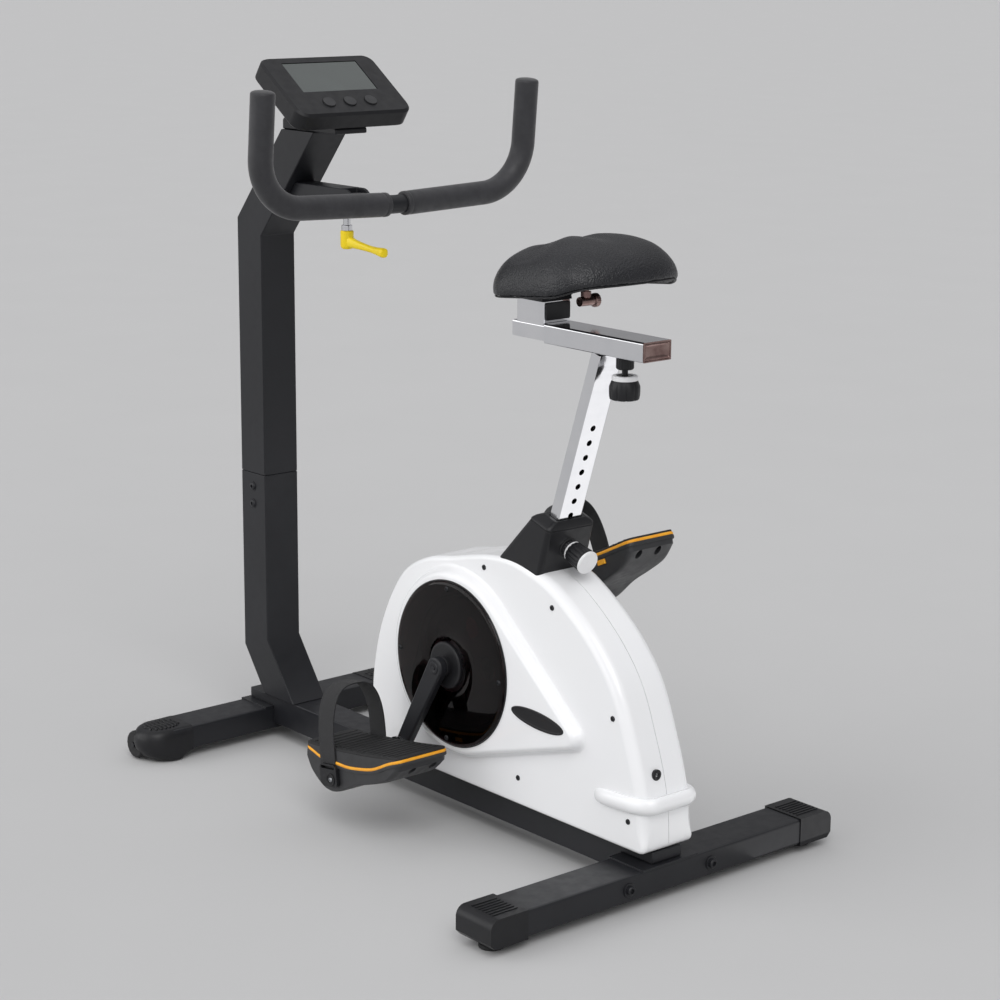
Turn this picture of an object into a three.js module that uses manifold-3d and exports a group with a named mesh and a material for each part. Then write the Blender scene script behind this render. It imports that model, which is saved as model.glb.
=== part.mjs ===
// Upright bicycle ergometer, millimetres, +Z up, front of the bike towards -X, rider's left towards -Y.
// Places along the bike are measured from the crank axle, heights from the floor.
import * as THREE from 'three';
import { mergeVertices } from 'three/addons/utils/BufferGeometryUtils.js';
import Module from 'manifold-3d';

const wasm = await Module();
wasm.setup();

// Driving dimensions
const crankHeight = 277;
const crankLength = 170;
const crankForwardAngle = THREE.MathUtils.degToRad(30);
const frontStabiliserX = -587;
const rearStabiliserX = 395;
const frontStabiliserHalf = 307;
const rearStabiliserHalf = 352;
const mastSize = 70;
const mastRearX = -558;
const mastLowerKneeZ = 180;
const mastLowerLean = THREE.MathUtils.degToRad(36.5);
const mastUpperLean = THREE.MathUtils.degToRad(40);
const mastTopZ = 1082;
const mastHeadHeight = 185;
const mastUpperKneeZ = mastTopZ - mastHeadHeight;
const mastJointZ = 477;
const postLean = THREE.MathUtils.degToRad(18.4);
const postHoleX = 199;
const postHoleZ = 546;
const railTopZ = 838;
const railRearX = 379;
const railFrontX = 165;
const barDrop = 104;
const barReach = 258;
const barHalf = 265;
const housingFrontX = -232;
const housingRearX = 428;
const housingTopZ = 468;
const housingHalf = 52;
const panelHalf = 70;

// Shared small values
const gap = 0.3;
const runningGap = 0.6;
const overrun = 5;
const lap = 1;
const mergeTolerance = 1e-4;
const fineSides = 36;
const driveSides = 28;
const roundSides = 16;
const smallSides = 10;

// Stabiliser and rail tubes
const tubeWidth = 75;
const tubeHeight = 42;
const tubeWall = 2.5;
const tubeCorner = 5;
const tubeBottomZ = 15;
const tubeTopZ = tubeBottomZ + tubeHeight;
const frontCapLength = 68;
const rearCapLength = 70;
const plugLength = 22;
const plateThickness = 4;
const frontPlateHalf = 47;
const rearPlateHalf = 57;
const baseRailWidth = 60;
const baseRailTopZ = 77;
const baseRailBottomZ = 27;
const baseRailRearX = 424;
const baseRailWall = 3;

// Materials
const steelBlack = { color: 0x2a2c30, roughness: 0.45, metalness: 0.5 };
const plasticBlack = { color: 0x1b1c1f, roughness: 0.5, metalness: 0 };
const plasticGrey = { color: 0x3a3b3f, roughness: 0.55, metalness: 0 };
const shellWhite = { color: 0xf0f1f4, roughness: 0.22, metalness: 0 };
const smoked = { color: 0x1a1212, roughness: 0.1, metalness: 0 };
const chrome = { color: 0xdcdfe2, roughness: 0.08, metalness: 1 };
const steel = { color: 0x9a9ca0, roughness: 0.3, metalness: 1 };
const castIron = { color: 0x55575a, roughness: 0.5, metalness: 0.9 };
const rubber = { color: 0x161618, roughness: 0.85, metalness: 0 };
const vinyl = { color: 0x202226, roughness: 0.45, metalness: 0 };
const yellow = { color: 0xf7d400, roughness: 0.4, metalness: 0 };
const webbing = { color: 0x17181a, roughness: 0.9, metalness: 0 };
const glass = { color: 0x20262b, roughness: 0.08, metalness: 0 };

// Solid helpers
function toSolid(geometry) {
  const bare = geometry.clone();
  bare.deleteAttribute('normal');
  bare.deleteAttribute('uv');
  const merged = mergeVertices(bare, mergeTolerance);
  const mesh = new wasm.Mesh({
    numProp: 3,
    vertProperties: new Float32Array(merged.attributes.position.array),
    triVerts: new Uint32Array(merged.index.array),
  });
  return new wasm.Manifold(mesh);
}

function toGeometry(solid) {
  const mesh = solid.getMesh();
  const geometry = new THREE.BufferGeometry();
  geometry.setAttribute('position', new THREE.BufferAttribute(mesh.vertProperties, 3));
  geometry.setIndex(new THREE.BufferAttribute(mesh.triVerts, 1));
  geometry.computeVertexNormals();
  return geometry;
}

function join(...geometries) {
  return toGeometry(geometries.map(toSolid).reduce((whole, next) => whole.add(next)));
}

function cut(base, ...tools) {
  return toGeometry(tools.map(toSolid).reduce((whole, next) => whole.subtract(next), toSolid(base)));
}

function common(base, tool) {
  return toGeometry(toSolid(base).intersect(toSolid(tool)));
}

// Shape helpers
function block(x0, x1, y0, y1, z0, z1) {
  const geometry = new THREE.BoxGeometry(x1 - x0, y1 - y0, z1 - z0);
  return geometry.translate((x0 + x1) / 2, (y0 + y1) / 2, (z0 + z1) / 2);
}

function polygon(points) {
  return new THREE.Shape(points.map(([a, b]) => new THREE.Vector2(a, b)));
}

function roundedRectangle(a0, a1, b0, b1, radius) {
  const shape = new THREE.Shape();
  shape.moveTo(a0 + radius, b0);
  shape.lineTo(a1 - radius, b0);
  shape.absarc(a1 - radius, b0 + radius, radius, -Math.PI / 2, 0);
  shape.lineTo(a1, b1 - radius);
  shape.absarc(a1 - radius, b1 - radius, radius, 0, Math.PI / 2);
  shape.lineTo(a0 + radius, b1);
  shape.absarc(a0 + radius, b1 - radius, radius, Math.PI / 2, Math.PI);
  shape.lineTo(a0, b0 + radius);
  shape.absarc(a0 + radius, b0 + radius, radius, Math.PI, Math.PI * 1.5);
  return shape;
}

function circle(a, b, radius) {
  const shape = new THREE.Shape();
  shape.absarc(a, b, radius, 0, Math.PI * 2);
  return shape;
}

// A profile in x and z, drawn out along y
function sideExtrude(shape, y0, y1, sides = 1) {
  const options = { depth: y1 - y0, bevelEnabled: false, curveSegments: sides };
  const geometry = new THREE.ExtrudeGeometry(shape, options);
  return geometry.rotateX(Math.PI / 2).translate(0, y1, 0);
}

// A profile in x and z with rounded outer edges, drawn out along y
function softSideExtrude(shape, y0, y1, radius, steps, sides) {
  const options = {
    depth: y1 - y0 - 2 * radius,
    bevelEnabled: true,
    bevelSize: radius,
    bevelThickness: radius,
    bevelOffset: -radius,
    bevelSegments: steps,
    curveSegments: sides,
  };
  const geometry = new THREE.ExtrudeGeometry(shape, options);
  return geometry.rotateX(Math.PI / 2).translate(0, y1 - radius, 0);
}

// A profile in y and z, drawn out along x
function lengthExtrude(shape, x0, x1, sides = 1) {
  const options = { depth: x1 - x0, bevelEnabled: false, curveSegments: sides };
  const geometry = new THREE.ExtrudeGeometry(shape, options);
  const turn = new THREE.Matrix4().makeBasis(
    new THREE.Vector3(0, 1, 0),
    new THREE.Vector3(0, 0, 1),
    new THREE.Vector3(1, 0, 0),
  );
  return geometry.applyMatrix4(turn).translate(x0, 0, 0);
}

// A profile in x and y, drawn out along z
function heightExtrude(shape, z0, z1, sides = 1) {
  const options = { depth: z1 - z0, bevelEnabled: false, curveSegments: sides };
  return new THREE.ExtrudeGeometry(shape, options).translate(0, 0, z0);
}

// A turned piece about the y axis: its profile is a list of radius and place along the axis
function turned(profile, sides) {
  return new THREE.LatheGeometry(profile.map(([r, a]) => new THREE.Vector2(r, a)), sides);
}

function alongX(geometry) {
  return geometry.rotateZ(-Math.PI / 2);
}

function alongZ(geometry) {
  return geometry.rotateX(Math.PI / 2);
}

function disc(radius, a0, a1, sides) {
  return turned([[0, a0], [radius, a0], [radius, a1], [0, a1]], sides);
}

// A faceted bore whose flats clear a round pin
function boreAround(radius, clearance, sides) {
  return (radius + clearance) / Math.cos(Math.PI / sides);
}

function ring(inner, outer, a0, a1, sides) {
  return turned([[inner, a0], [outer, a0], [outer, a1], [inner, a1], [inner, a0]], sides);
}

const pieces = new Map();

function piece(name, geometry, look) {
  const mesh = new THREE.Mesh(geometry, new THREE.MeshStandardMaterial(look));
  mesh.name = name;
  pieces.set(name, mesh);
  return mesh;
}

function groupOf(...children) {
  const group = new THREE.Group();
  group.add(...children);
  return group;
}

// side is -1 for the rider's left and 1 for the right
const sideNames = new Map([[-1, 'left'], [1, 'right']]);

function mirrored(geometry, side) {
  return side < 0 ? geometry : toGeometry(toSolid(geometry).mirror([0, 1, 0]));
}

// Stabilisers
function crossTube(centreX, half, plateHalf) {
  const left = centreX - tubeWidth / 2;
  const right = centreX + tubeWidth / 2;
  const outer = roundedRectangle(left, right, tubeBottomZ, tubeTopZ, tubeCorner);
  const bore = roundedRectangle(
    left + tubeWall, right - tubeWall, tubeBottomZ + tubeWall, tubeTopZ - tubeWall, tubeCorner - tubeWall,
  );
  const tube = cut(
    sideExtrude(outer, -half, half),
    sideExtrude(bore, -half - overrun, half + overrun),
  );
  const seat = tubeTopZ - plateThickness / 2;
  const plate = block(left, right, -plateHalf, plateHalf, seat, seat + plateThickness);
  return join(tube, plate);
}

function stabilisers() {
  const front = crossTube(frontStabiliserX, frontStabiliserHalf - frontCapLength, frontPlateHalf);
  const rear = crossTube(rearStabiliserX, rearStabiliserHalf - rearCapLength, rearPlateHalf);
  return [piece('front_stabiliser', front, steelBlack), piece('rear_stabiliser', rear, steelBlack)];
}

const plateTopZ = tubeTopZ + plateThickness / 2;

function baseRail() {
  const notch = tubeWidth / 2 + gap;
  const frontEnd = frontStabiliserX - tubeWidth / 2 + tubeCorner;
  const low = baseRailBottomZ;
  const high = plateTopZ + gap;
  const outline = polygon([
    [frontEnd, high],
    [frontStabiliserX + notch, high],
    [frontStabiliserX + notch, low],
    [rearStabiliserX - notch, low],
    [rearStabiliserX - notch, high],
    [baseRailRearX, high],
    [baseRailRearX, baseRailTopZ],
    [frontEnd, baseRailTopZ],
  ]);
  const half = baseRailWidth / 2;
  const bore = block(
    frontEnd - overrun, baseRailRearX - baseRailWall, -half + baseRailWall, half - baseRailWall,
    low + baseRailWall, baseRailTopZ - baseRailWall,
  );
  return [piece('base_rail', cut(sideExtrude(outline, -half, half), bore), steelBlack)];
}

// End caps, levelling feet and transport wheels
const capProud = 1.5;
const capRound = 16;
const ribCount = 7;
const ribHeight = 1.2;
const ribWidth = 2.6;
const footRadius = 19;
const footHeight = 9;
const footStemRadius = 5;
const footStemTopZ = 42;
const footInset = 34;
const wheelRadius = 24;
const wheelWidth = 24;
const wheelFloorGap = 2;
const wheelPinRadius = 4.5;
const wheelInset = 34;
const wheelForward = 20;
const wheelRoom = 1.5;
const treadDrop = 2;
const treadRound = 3;
const padHeight = 6;

function capPlug(centreX, tubeEnd) {
  const inset = tubeWall + gap;
  const outline = roundedRectangle(
    centreX - tubeWidth / 2 + inset, centreX + tubeWidth / 2 - inset,
    tubeBottomZ + inset, tubeTopZ - inset, tubeCorner - tubeWall,
  );
  return sideExtrude(outline, -tubeEnd - overrun, -tubeEnd + plugLength);
}

function capRibs(centreX, y0, y1, topZ) {
  const span = tubeWidth * 0.6;
  const pitch = span / (ribCount - 1);
  const ribs = [];
  for (let i = 0; i < ribCount; i += 1) {
    const x = centreX - span / 2 + i * pitch;
    ribs.push(block(x - ribWidth / 2, x + ribWidth / 2, y0, y1, topZ - ribHeight, topZ + ribHeight));
  }
  return ribs;
}

function rearCap(side) {
  const tubeEnd = rearStabiliserHalf - rearCapLength;
  const top = tubeTopZ + capProud;
  const low = tubeBottomZ - capProud;
  const outline = new THREE.Shape();
  outline.moveTo(-tubeEnd - gap, low);
  outline.lineTo(-tubeEnd - gap, top);
  outline.lineTo(-rearStabiliserHalf + capRound, top);
  outline.absarc(-rearStabiliserHalf + capRound, top - capRound, capRound, Math.PI / 2, Math.PI);
  outline.lineTo(-rearStabiliserHalf, low + capRound / 2);
  outline.lineTo(-rearStabiliserHalf + capRound / 2, low);
  const halfWidth = tubeWidth / 2 + capProud;
  const shell = lengthExtrude(outline, rearStabiliserX - halfWidth, rearStabiliserX + halfWidth, 6);
  const footY = -rearStabiliserHalf + footInset;
  const socketRadius = boreAround(footStemRadius, gap, roundSides);
  const socket = alongZ(disc(socketRadius, 0, footStemTopZ + gap, roundSides));
  const ribs = capRibs(rearStabiliserX, -rearStabiliserHalf + capRound, -tubeEnd - capRound / 2, top);
  const solid = join(shell, capPlug(rearStabiliserX, tubeEnd), ...ribs);
  const body = cut(solid, socket.translate(rearStabiliserX, footY, 0));
  return piece(`rear_cap_${sideNames.get(side)}`, mirrored(body, side), plasticBlack);
}

function levelFoot(side) {
  const profile = [
    [0, 0], [footRadius, 0], [footRadius, footHeight * 0.6], [footRadius * 0.6, footHeight],
    [footStemRadius, footHeight], [footStemRadius, footStemTopZ], [0, footStemTopZ],
  ];
  const foot = alongZ(turned(profile, roundSides));
  foot.translate(rearStabiliserX, side * (rearStabiliserHalf - footInset), 0);
  return piece(`level_foot_${sideNames.get(side)}`, foot, rubber);
}

function frontCap(side) {
  const tubeEnd = frontStabiliserHalf - frontCapLength;
  const top = tubeTopZ + capProud;
  const low = tubeBottomZ - capProud;
  const end = -frontStabiliserHalf;
  const bulge = (top - padHeight) / 2;
  const outline = new THREE.Shape();
  outline.moveTo(-tubeEnd - gap, low);
  outline.lineTo(-tubeEnd - gap, top);
  outline.lineTo(end + bulge, top);
  outline.absarc(end + bulge, top - bulge, bulge, Math.PI / 2, Math.PI * 1.5);
  outline.lineTo(-tubeEnd - capRound, padHeight);
  const halfWidth = tubeWidth / 2 + capProud;
  const shell = lengthExtrude(outline, frontStabiliserX - halfWidth, frontStabiliserX + halfWidth, 10);
  const wheelY = end + wheelInset;
  const wheelX = frontStabiliserX - wheelForward;
  const wheelZ = wheelRadius + wheelFloorGap;
  const roomHalf = wheelWidth / 2 + wheelRoom;
  const room = disc(wheelRadius + wheelRoom, wheelY - roomHalf, wheelY + roomHalf, roundSides);
  const pin = disc(wheelPinRadius, wheelY - roomHalf - lap, wheelY + roomHalf + lap, smallSides);
  const padBack = frontStabiliserX + halfWidth;
  const padFront = frontStabiliserX + tubeCorner;
  const pad = block(padFront, padBack - tubeCorner, end + bulge, -tubeEnd - capRound, 0, padHeight + overrun);
  const ribs = capRibs(frontStabiliserX, end + bulge, -tubeEnd - capRound, top);
  const solid = join(shell, capPlug(frontStabiliserX, tubeEnd), pad, ...ribs);
  const body = join(cut(solid, room.translate(wheelX, 0, wheelZ)), pin.translate(wheelX, 0, wheelZ));
  return piece(`front_cap_${sideNames.get(side)}`, mirrored(body, side), plasticBlack);
}

function transportWheel(side) {
  const tread = wheelRadius - treadDrop;
  const half = wheelWidth / 2;
  const bore = boreAround(wheelPinRadius, gap, roundSides);
  const profile = [
    [bore, -half], [tread, -half], [wheelRadius, -half + treadRound], [wheelRadius, half - treadRound],
    [tread, half], [bore, half], [bore, -half],
  ];
  const wheel = turned(profile, roundSides);
  const wheelY = side * (frontStabiliserHalf - wheelInset);
  wheel.translate(frontStabiliserX - wheelForward, wheelY, wheelRadius + wheelFloorGap);
  return piece(`transport_wheel_${sideNames.get(side)}`, wheel, rubber);
}

// Mast: a bent box section with mitred knees, in two lengths
const mastWall = 3;
const mastHalf = mastSize / 2;

function mastLine(inset) {
  const lowerMiter = (mastSize - 2 * inset) * Math.tan(mastLowerLean / 2);
  const upperMiter = (mastSize - 2 * inset) * Math.tan(mastUpperLean / 2);
  const rear = mastRearX - inset;
  const front = mastRearX - mastSize + inset;
  const lowKnee = mastLowerKneeZ - inset * Math.tan(mastLowerLean / 2);
  const highKnee = mastUpperKneeZ + inset * Math.tan(mastUpperLean / 2);
  const footZ = baseRailTopZ - mastSize;
  const topZ = mastTopZ + mastSize;
  const lowRun = (z) => (lowKnee - z) * Math.tan(mastLowerLean);
  const highRun = (z) => (z - highKnee) * Math.tan(mastUpperLean);
  return [
    [rear + lowRun(footZ), footZ],
    [rear, lowKnee],
    [rear, highKnee],
    [rear + highRun(topZ), topZ],
    [front + highRun(topZ - upperMiter), topZ],
    [front, highKnee + upperMiter],
    [front, lowKnee - lowerMiter],
    [front + lowRun(footZ + lowerMiter), footZ],
  ];
}

function mastLength(z0, z1) {
  const skin = sideExtrude(polygon(mastLine(0)), -mastHalf, mastHalf);
  const bore = sideExtrude(polygon(mastLine(mastWall)), -mastHalf + mastWall, mastHalf - mastWall);
  const reach = mastSize * 6;
  const slab = block(mastRearX - reach, mastRearX + reach, -mastSize, mastSize, z0, z1);
  return common(cut(skin, bore), slab);
}

const mastPieces = () => [
  piece('mast_lower', mastLength(baseRailTopZ + gap, mastJointZ - gap / 2), steelBlack),
  piece('mast_upper', mastLength(mastJointZ + gap / 2, mastTopZ), steelBlack),
];

// Where the rear face of the upper mast is at a height
function mastRearAt(z) {
  return mastRearX + (z - mastUpperKneeZ) * Math.tan(mastUpperLean);
}

// Handlebar bracket, tongue and clamp
const bracketHalf = 20;
const bracketWall = 4;
const barZ = mastTopZ - barDrop;
const barX = mastRearAt(barZ) + barReach;
const bracketRise = 16;
const bracketDrop = 24;
const bracketTopZ = barZ + bracketRise;
const bracketBottomZ = barZ - bracketDrop;
const bracketSetback = 86;
const bracketRearX = barX - bracketSetback;
const pivotSetback = 108;
const pivotX = barX - pivotSetback;
const pivotDrop = 3;
const pivotZ = barZ - pivotDrop;
const pivotRadius = 6;
const studSetback = 128;
const studX = barX - studSetback;
const studRadius = 6;
const studTopZ = bracketBottomZ - gap;
const nutRadius = 9;
const nutHeight = 9;
const leverHubRadius = 11;
const leverHubDrop = 31;
const leverHubTopZ = bracketBottomZ - leverHubDrop;
const leverHubHeight = 30;
const leverReach = 96;
const leverDrop = 14;
const leverThickness = 13;

function stemBracket() {
  const foot = mastRearAt(bracketBottomZ);
  const head = mastRearAt(bracketTopZ);
  const cheek = new THREE.Shape();
  const nose = (bracketTopZ - bracketBottomZ) / 2;
  cheek.moveTo(foot + gap, bracketBottomZ);
  cheek.lineTo(bracketRearX - nose, bracketBottomZ);
  cheek.absarc(bracketRearX - nose, bracketBottomZ + nose, nose, -Math.PI / 2, Math.PI / 2);
  cheek.lineTo(head + gap, bracketTopZ);
  const whole = sideExtrude(cheek, -bracketHalf, bracketHalf, 8);
  const channelFront = pivotX - tongueHeight / 2 - runningGap;
  const channel = block(
    channelFront, bracketRearX + overrun, -bracketHalf + bracketWall, bracketHalf - bracketWall,
    bracketBottomZ - overrun, bracketTopZ + overrun,
  );
  const pin = disc(pivotRadius, -bracketHalf, bracketHalf, smallSides).translate(pivotX, 0, pivotZ);
  return piece('stem_bracket', join(cut(whole, channel), pin), steelBlack);
}

// Handlebar: one bent tube, straight across the middle and turned up at both ends
const barRadius = 15;
const barBend = 82;
const barUpsweep = THREE.MathUtils.degToRad(2);
const barTilt = THREE.MathUtils.degToRad(5);
const hornLength = 100;
const foamRadius = 19.5;
const foamStart = 17;
const tongueHeight = 24;
const tongueHalf = bracketHalf - bracketWall - runningGap;
const foamEndCover = 4;

// The bar's centre line in y and z about the bar's middle, by stations that are places along it
class BarCurve extends THREE.Curve {
  constructor(side, stations) {
    super();
    this.side = side;
    this.stations = stations;
  }

  getPoint(t) {
    const place = t * (this.stations.length - 1);
    const i = Math.min(Math.floor(place), this.stations.length - 2);
    const along = THREE.MathUtils.lerp(this.stations[i], this.stations[i + 1], place - i);
    const [y, z] = barPoint(Math.abs(along));
    const side = this.side * (along < 0 ? -1 : 1);
    return new THREE.Vector3(0, side * y, z);
  }

  getPointAt(t) {
    return this.getPoint(t);
  }

  getTangentAt(t) {
    return this.getTangent(t);
  }
}

const barBendAngle = Math.PI / 2 - barUpsweep;
const barStraight = (barHalf - barBend * (1 - Math.sin(barUpsweep))) / Math.cos(barUpsweep);
const barBendLength = barBend * barBendAngle;
const barLength = barStraight + barBendLength + hornLength;
const hornTop = barStraight * Math.sin(barUpsweep) + barBend * Math.cos(barUpsweep) + hornLength;

function barPoint(along) {
  if (along < barStraight) {
    return [along * Math.cos(barUpsweep), along * Math.sin(barUpsweep)];
  }
  const centreZ = barStraight * Math.sin(barUpsweep) + barBend * Math.cos(barUpsweep);
  const turnedBy = (along - barStraight) / barBend;
  if (turnedBy < barBendAngle) {
    const angle = turnedBy + barUpsweep - Math.PI / 2;
    return [barHalf - barBend + barBend * Math.cos(angle), centreZ + barBend * Math.sin(angle)];
  }
  return [barHalf, centreZ + along - barStraight - barBendLength];
}

const barSides = 12;
const bendSteps = 8;

// Places along one half of the bar where its sweep needs a ring, between two ends
function barStations(from, to) {
  const bend = [];
  for (let i = 0; i <= bendSteps; i += 1) {
    bend.push(barStraight + (barBendLength * i) / bendSteps);
  }
  return [from, ...bend, to];
}

function barSweep(shape, side, stations) {
  const path = new BarCurve(side, stations);
  const options = { steps: stations.length - 1, extrudePath: path, curveSegments: barSides / 2 };
  return new THREE.ExtrudeGeometry(shape, options);
}

const rightStations = barStations(0, barLength);
const wholeBarStations = [...rightStations.slice(1).reverse().map((along) => -along), ...rightStations];

function handlebar() {
  const tube = barSweep(circle(0, 0, barRadius), 1, wholeBarStations);
  const tongueRear = -barRadius / 2;
  const eye = tongueHeight / 2;
  const reach = pivotX - barX;
  const drop = pivotZ - barZ;
  const tongue = new THREE.Shape();
  tongue.moveTo(tongueRear, -eye / 2);
  tongue.lineTo(tongueRear, eye / 2);
  tongue.lineTo(reach, drop + eye);
  tongue.absarc(reach, drop, eye, Math.PI / 2, Math.PI * 1.5);
  const plate = sideExtrude(tongue, -tongueHalf, tongueHalf, 8);
  const hole = disc(boreAround(pivotRadius, gap, smallSides), -bracketHalf, bracketHalf, smallSides);
  const tilt = new THREE.Matrix4().makeRotationY(barTilt);
  const body = join(tube.applyMatrix4(tilt), cut(plate, hole.translate(reach, 0, drop)));
  const mesh = piece('handlebar', body, steelBlack);
  mesh.position.set(barX, 0, barZ);
  return mesh;
}

function grip(side) {
  const foamEnd = barLength + gap + foamEndCover / 2;
  const skin = barSweep(circle(0, 0, foamRadius), side, barStations(foamStart, foamEnd));
  const bore = barSweep(circle(0, 0, barRadius + gap), 1, wholeBarStations);
  const endRoom = alongZ(disc(barRadius + gap, barLength - overrun, barLength + gap, barSides));
  const foam = cut(skin, bore, endRoom.translate(0, side * barHalf, hornTop - barLength));
  const lid = alongZ(disc(foamRadius, barLength + gap, barLength + gap + foamEndCover, barSides));
  lid.translate(0, side * barHalf, hornTop - barLength);
  const mesh = piece(`grip_${sideNames.get(side)}`, join(foam, lid), rubber);
  mesh.position.set(barX, 0, barZ);
  mesh.rotation.y = barTilt;
  return mesh;
}

function clampStud() {
  const stud = alongZ(disc(studRadius, leverHubTopZ + gap, studTopZ, smallSides));
  const nut = alongZ(disc(nutRadius, leverHubTopZ + gap, leverHubTopZ + gap + nutHeight, roundSides));
  const screwEnd = leverHubTopZ - leverHubHeight * 0.6;
  const head = alongZ(disc(studRadius / 2, screwEnd, leverHubTopZ + overrun, smallSides));
  const mesh = piece('clamp_stud', join(stud, nut, head), chrome);
  mesh.position.set(studX, 0, 0);
  return mesh;
}

function clampLever() {
  const bottom = leverHubTopZ - leverHubHeight;
  const hub = alongZ(disc(leverHubRadius, bottom, leverHubTopZ, roundSides));
  const screwBore = boreAround(studRadius / 2, gap, smallSides);
  const boreEnd = bottom + leverHubHeight * 0.4 - gap;
  const bore = alongZ(disc(screwBore, boreEnd, leverHubTopZ + overrun, smallSides));
  const arm = new THREE.Shape();
  const armTop = leverHubTopZ - leverHubHeight * 0.45;
  const tipTop = armTop - leverDrop;
  arm.moveTo(0, bottom);
  arm.lineTo(0, armTop);
  arm.quadraticCurveTo(leverReach * 0.4, tipTop, leverReach - leverThickness, tipTop);
  const tip = leverThickness / 2;
  arm.absarc(leverReach - tip, tipTop - tip, tip, Math.PI / 2, -Math.PI / 2, true);
  arm.quadraticCurveTo(leverReach * 0.3, bottom - leverThickness / 3, 0, bottom);
  const handle = softSideExtrude(arm, -tip, tip, leverThickness / 5, 2, 6);
  const mesh = piece('clamp_lever', cut(join(hub, handle), bore), yellow);
  mesh.position.set(studX, 0, 0);
  return mesh;
}

// Console on top of the mast
const consoleTilt = THREE.MathUtils.degToRad(35);
const consoleWidth = 230;
const consoleLength = 150;
const consoleDepth = 34;
const consoleCorner = 22;
const consoleEdge = 4;
const screenWidth = 150;
const screenLength = 74;
const screenDepth = 3;
const buttonRadius = 11;
const buttonProud = 2.5;
const buttonDepth = 7;
const buttonSpacing = 42;
const consoleArmHalf = 32;
const mastHeadX = mastRearAt(mastTopZ);
const consoleArmReach = 57;
const consoleArmRearX = mastHeadX + consoleArmReach;
const consoleArmThickness = 8;
const consoleSetback = 7;
const consoleCentreX = mastHeadX + consoleSetback;
const consoleLift = 64;

function consoleBracket() {
  const z0 = mastTopZ + gap;
  const frontX = mastHeadX - mastSize / Math.cos(mastUpperLean);
  const outline = new THREE.Shape();
  outline.moveTo(frontX, z0);
  outline.lineTo(consoleArmRearX, z0);
  outline.lineTo(consoleArmRearX, z0 + consoleArmThickness);
  const seatZ = z0 + consoleLift - consoleDepth / 2 / Math.cos(consoleTilt) - gap;
  outline.lineTo(consoleCentreX, seatZ);
  outline.lineTo(consoleCentreX - consoleArmHalf, seatZ + consoleArmHalf * Math.tan(consoleTilt));
  outline.lineTo(frontX, z0 + consoleArmThickness * 2);
  return piece('console_bracket', sideExtrude(outline, -consoleArmHalf, consoleArmHalf), plasticBlack);
}

// The console's own frame: x along its face towards the rider, z out of its face
function consoleGroup() {
  const half = consoleLength / 2;
  const face = roundedRectangle(-half, half, -consoleWidth / 2, consoleWidth / 2, consoleCorner);
  const body = new THREE.ExtrudeGeometry(face, {
    depth: consoleDepth - 2 * consoleEdge,
    bevelEnabled: true,
    bevelSize: consoleEdge,
    bevelThickness: consoleEdge,
    bevelOffset: -consoleEdge,
    bevelSegments: 1,
    curveSegments: 4,
  }).translate(0, 0, -consoleDepth / 2 + consoleEdge);
  const top = consoleDepth / 2;
  const screenX = -consoleLength * 0.14;
  const screenRoom = block(
    screenX - screenLength / 2 - gap, screenX + screenLength / 2 + gap,
    -screenWidth / 2 - gap, screenWidth / 2 + gap, top - screenDepth - gap, top + overrun,
  );
  const buttonX = consoleLength * 0.3;
  const places = [-1, 0, 1].map((i) => i * buttonSpacing);
  const wells = places.map((y) => alongZ(
    disc(buttonRadius + runningGap, top - buttonDepth - buttonProud, top + overrun, roundSides),
  ).translate(buttonX, y, 0));
  const screen = block(
    screenX - screenLength / 2, screenX + screenLength / 2,
    -screenWidth / 2, screenWidth / 2, top - screenDepth, top - screenDepth / 3,
  );
  const names = ['console_button_down', 'console_button_start', 'console_button_up'];
  const buttons = places.map((y, i) => {
    const cap = alongZ(disc(buttonRadius, top - buttonDepth + buttonProud, top + buttonProud, roundSides));
    return piece(names[i], cap.translate(buttonX, y, 0), plasticGrey);
  });
  const group = groupOf(
    piece('console', cut(body, screenRoom, ...wells), plasticBlack),
    piece('console_screen', screen, glass),
    ...buttons,
  );
  group.position.set(consoleCentreX, 0, mastTopZ + gap + consoleLift);
  group.rotation.y = consoleTilt;
  return group;
}

// Housing: two moulded shells that meet in the middle, with a raised panel round each window
const shellWall = 3;
const shellEdge = 9;
const panelEdge = 7;
const windowRadius = 134;
const panelRadius = 149;
const panelCornerX = 272;
const panelCornerZ = 223;
const panelCornerRadius = 17;
const lipFrontX = 330;
const lipRearX = 441;
const lipHalf = 62;
const lipTopZ = 172;
const lipBottomZ = 146;
const housingSteps = 34;
const lipEdge = 6;

// Places round the housing's outline, clockwise from the front foot, as shares of its length and height
const housingShares = [
  [0.035, 0], [0, 0.2], [0.012, 0.42], [0.055, 0.63], [0.125, 0.81], [0.215, 0.9], [0.315, 0.94],
  [0.43, 0.985], [0.535, 1], [0.63, 0.975], [0.69, 0.937], [0.77, 0.85], [0.845, 0.74],
  [0.905, 0.608], [0.95, 0.43], [0.98, 0.28], [0.995, 0.15], [1, 0],
];

function housingPoint([along, up]) {
  const length = housingRearX - housingFrontX;
  const foot = baseRailTopZ + gap * 2;
  return new THREE.Vector2(housingFrontX + along * length, foot + up * (housingTopZ - baseRailTopZ));
}

// The outline moved inwards by an inset, drawn on below the foot for a bore that opens downwards
function housingOutline(inset, below) {
  const curve = new THREE.SplineCurve(housingShares.map(housingPoint));
  const samples = curve.getPoints(housingSteps);
  const moved = samples.map((point, i) => {
    const before = samples[Math.max(i - 1, 0)];
    const after = samples[Math.min(i + 1, samples.length - 1)];
    const along = after.clone().sub(before).normalize();
    return [point.x + along.y * inset, point.y - along.x * inset];
  });
  const foot = housingPoint([0, 0]).y - below;
  const first = moved[0];
  const last = moved[moved.length - 1];
  return polygon([[first[0], foot], ...moved.filter(([, z]) => z > foot + gap), [last[0], foot]]);
}

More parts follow.
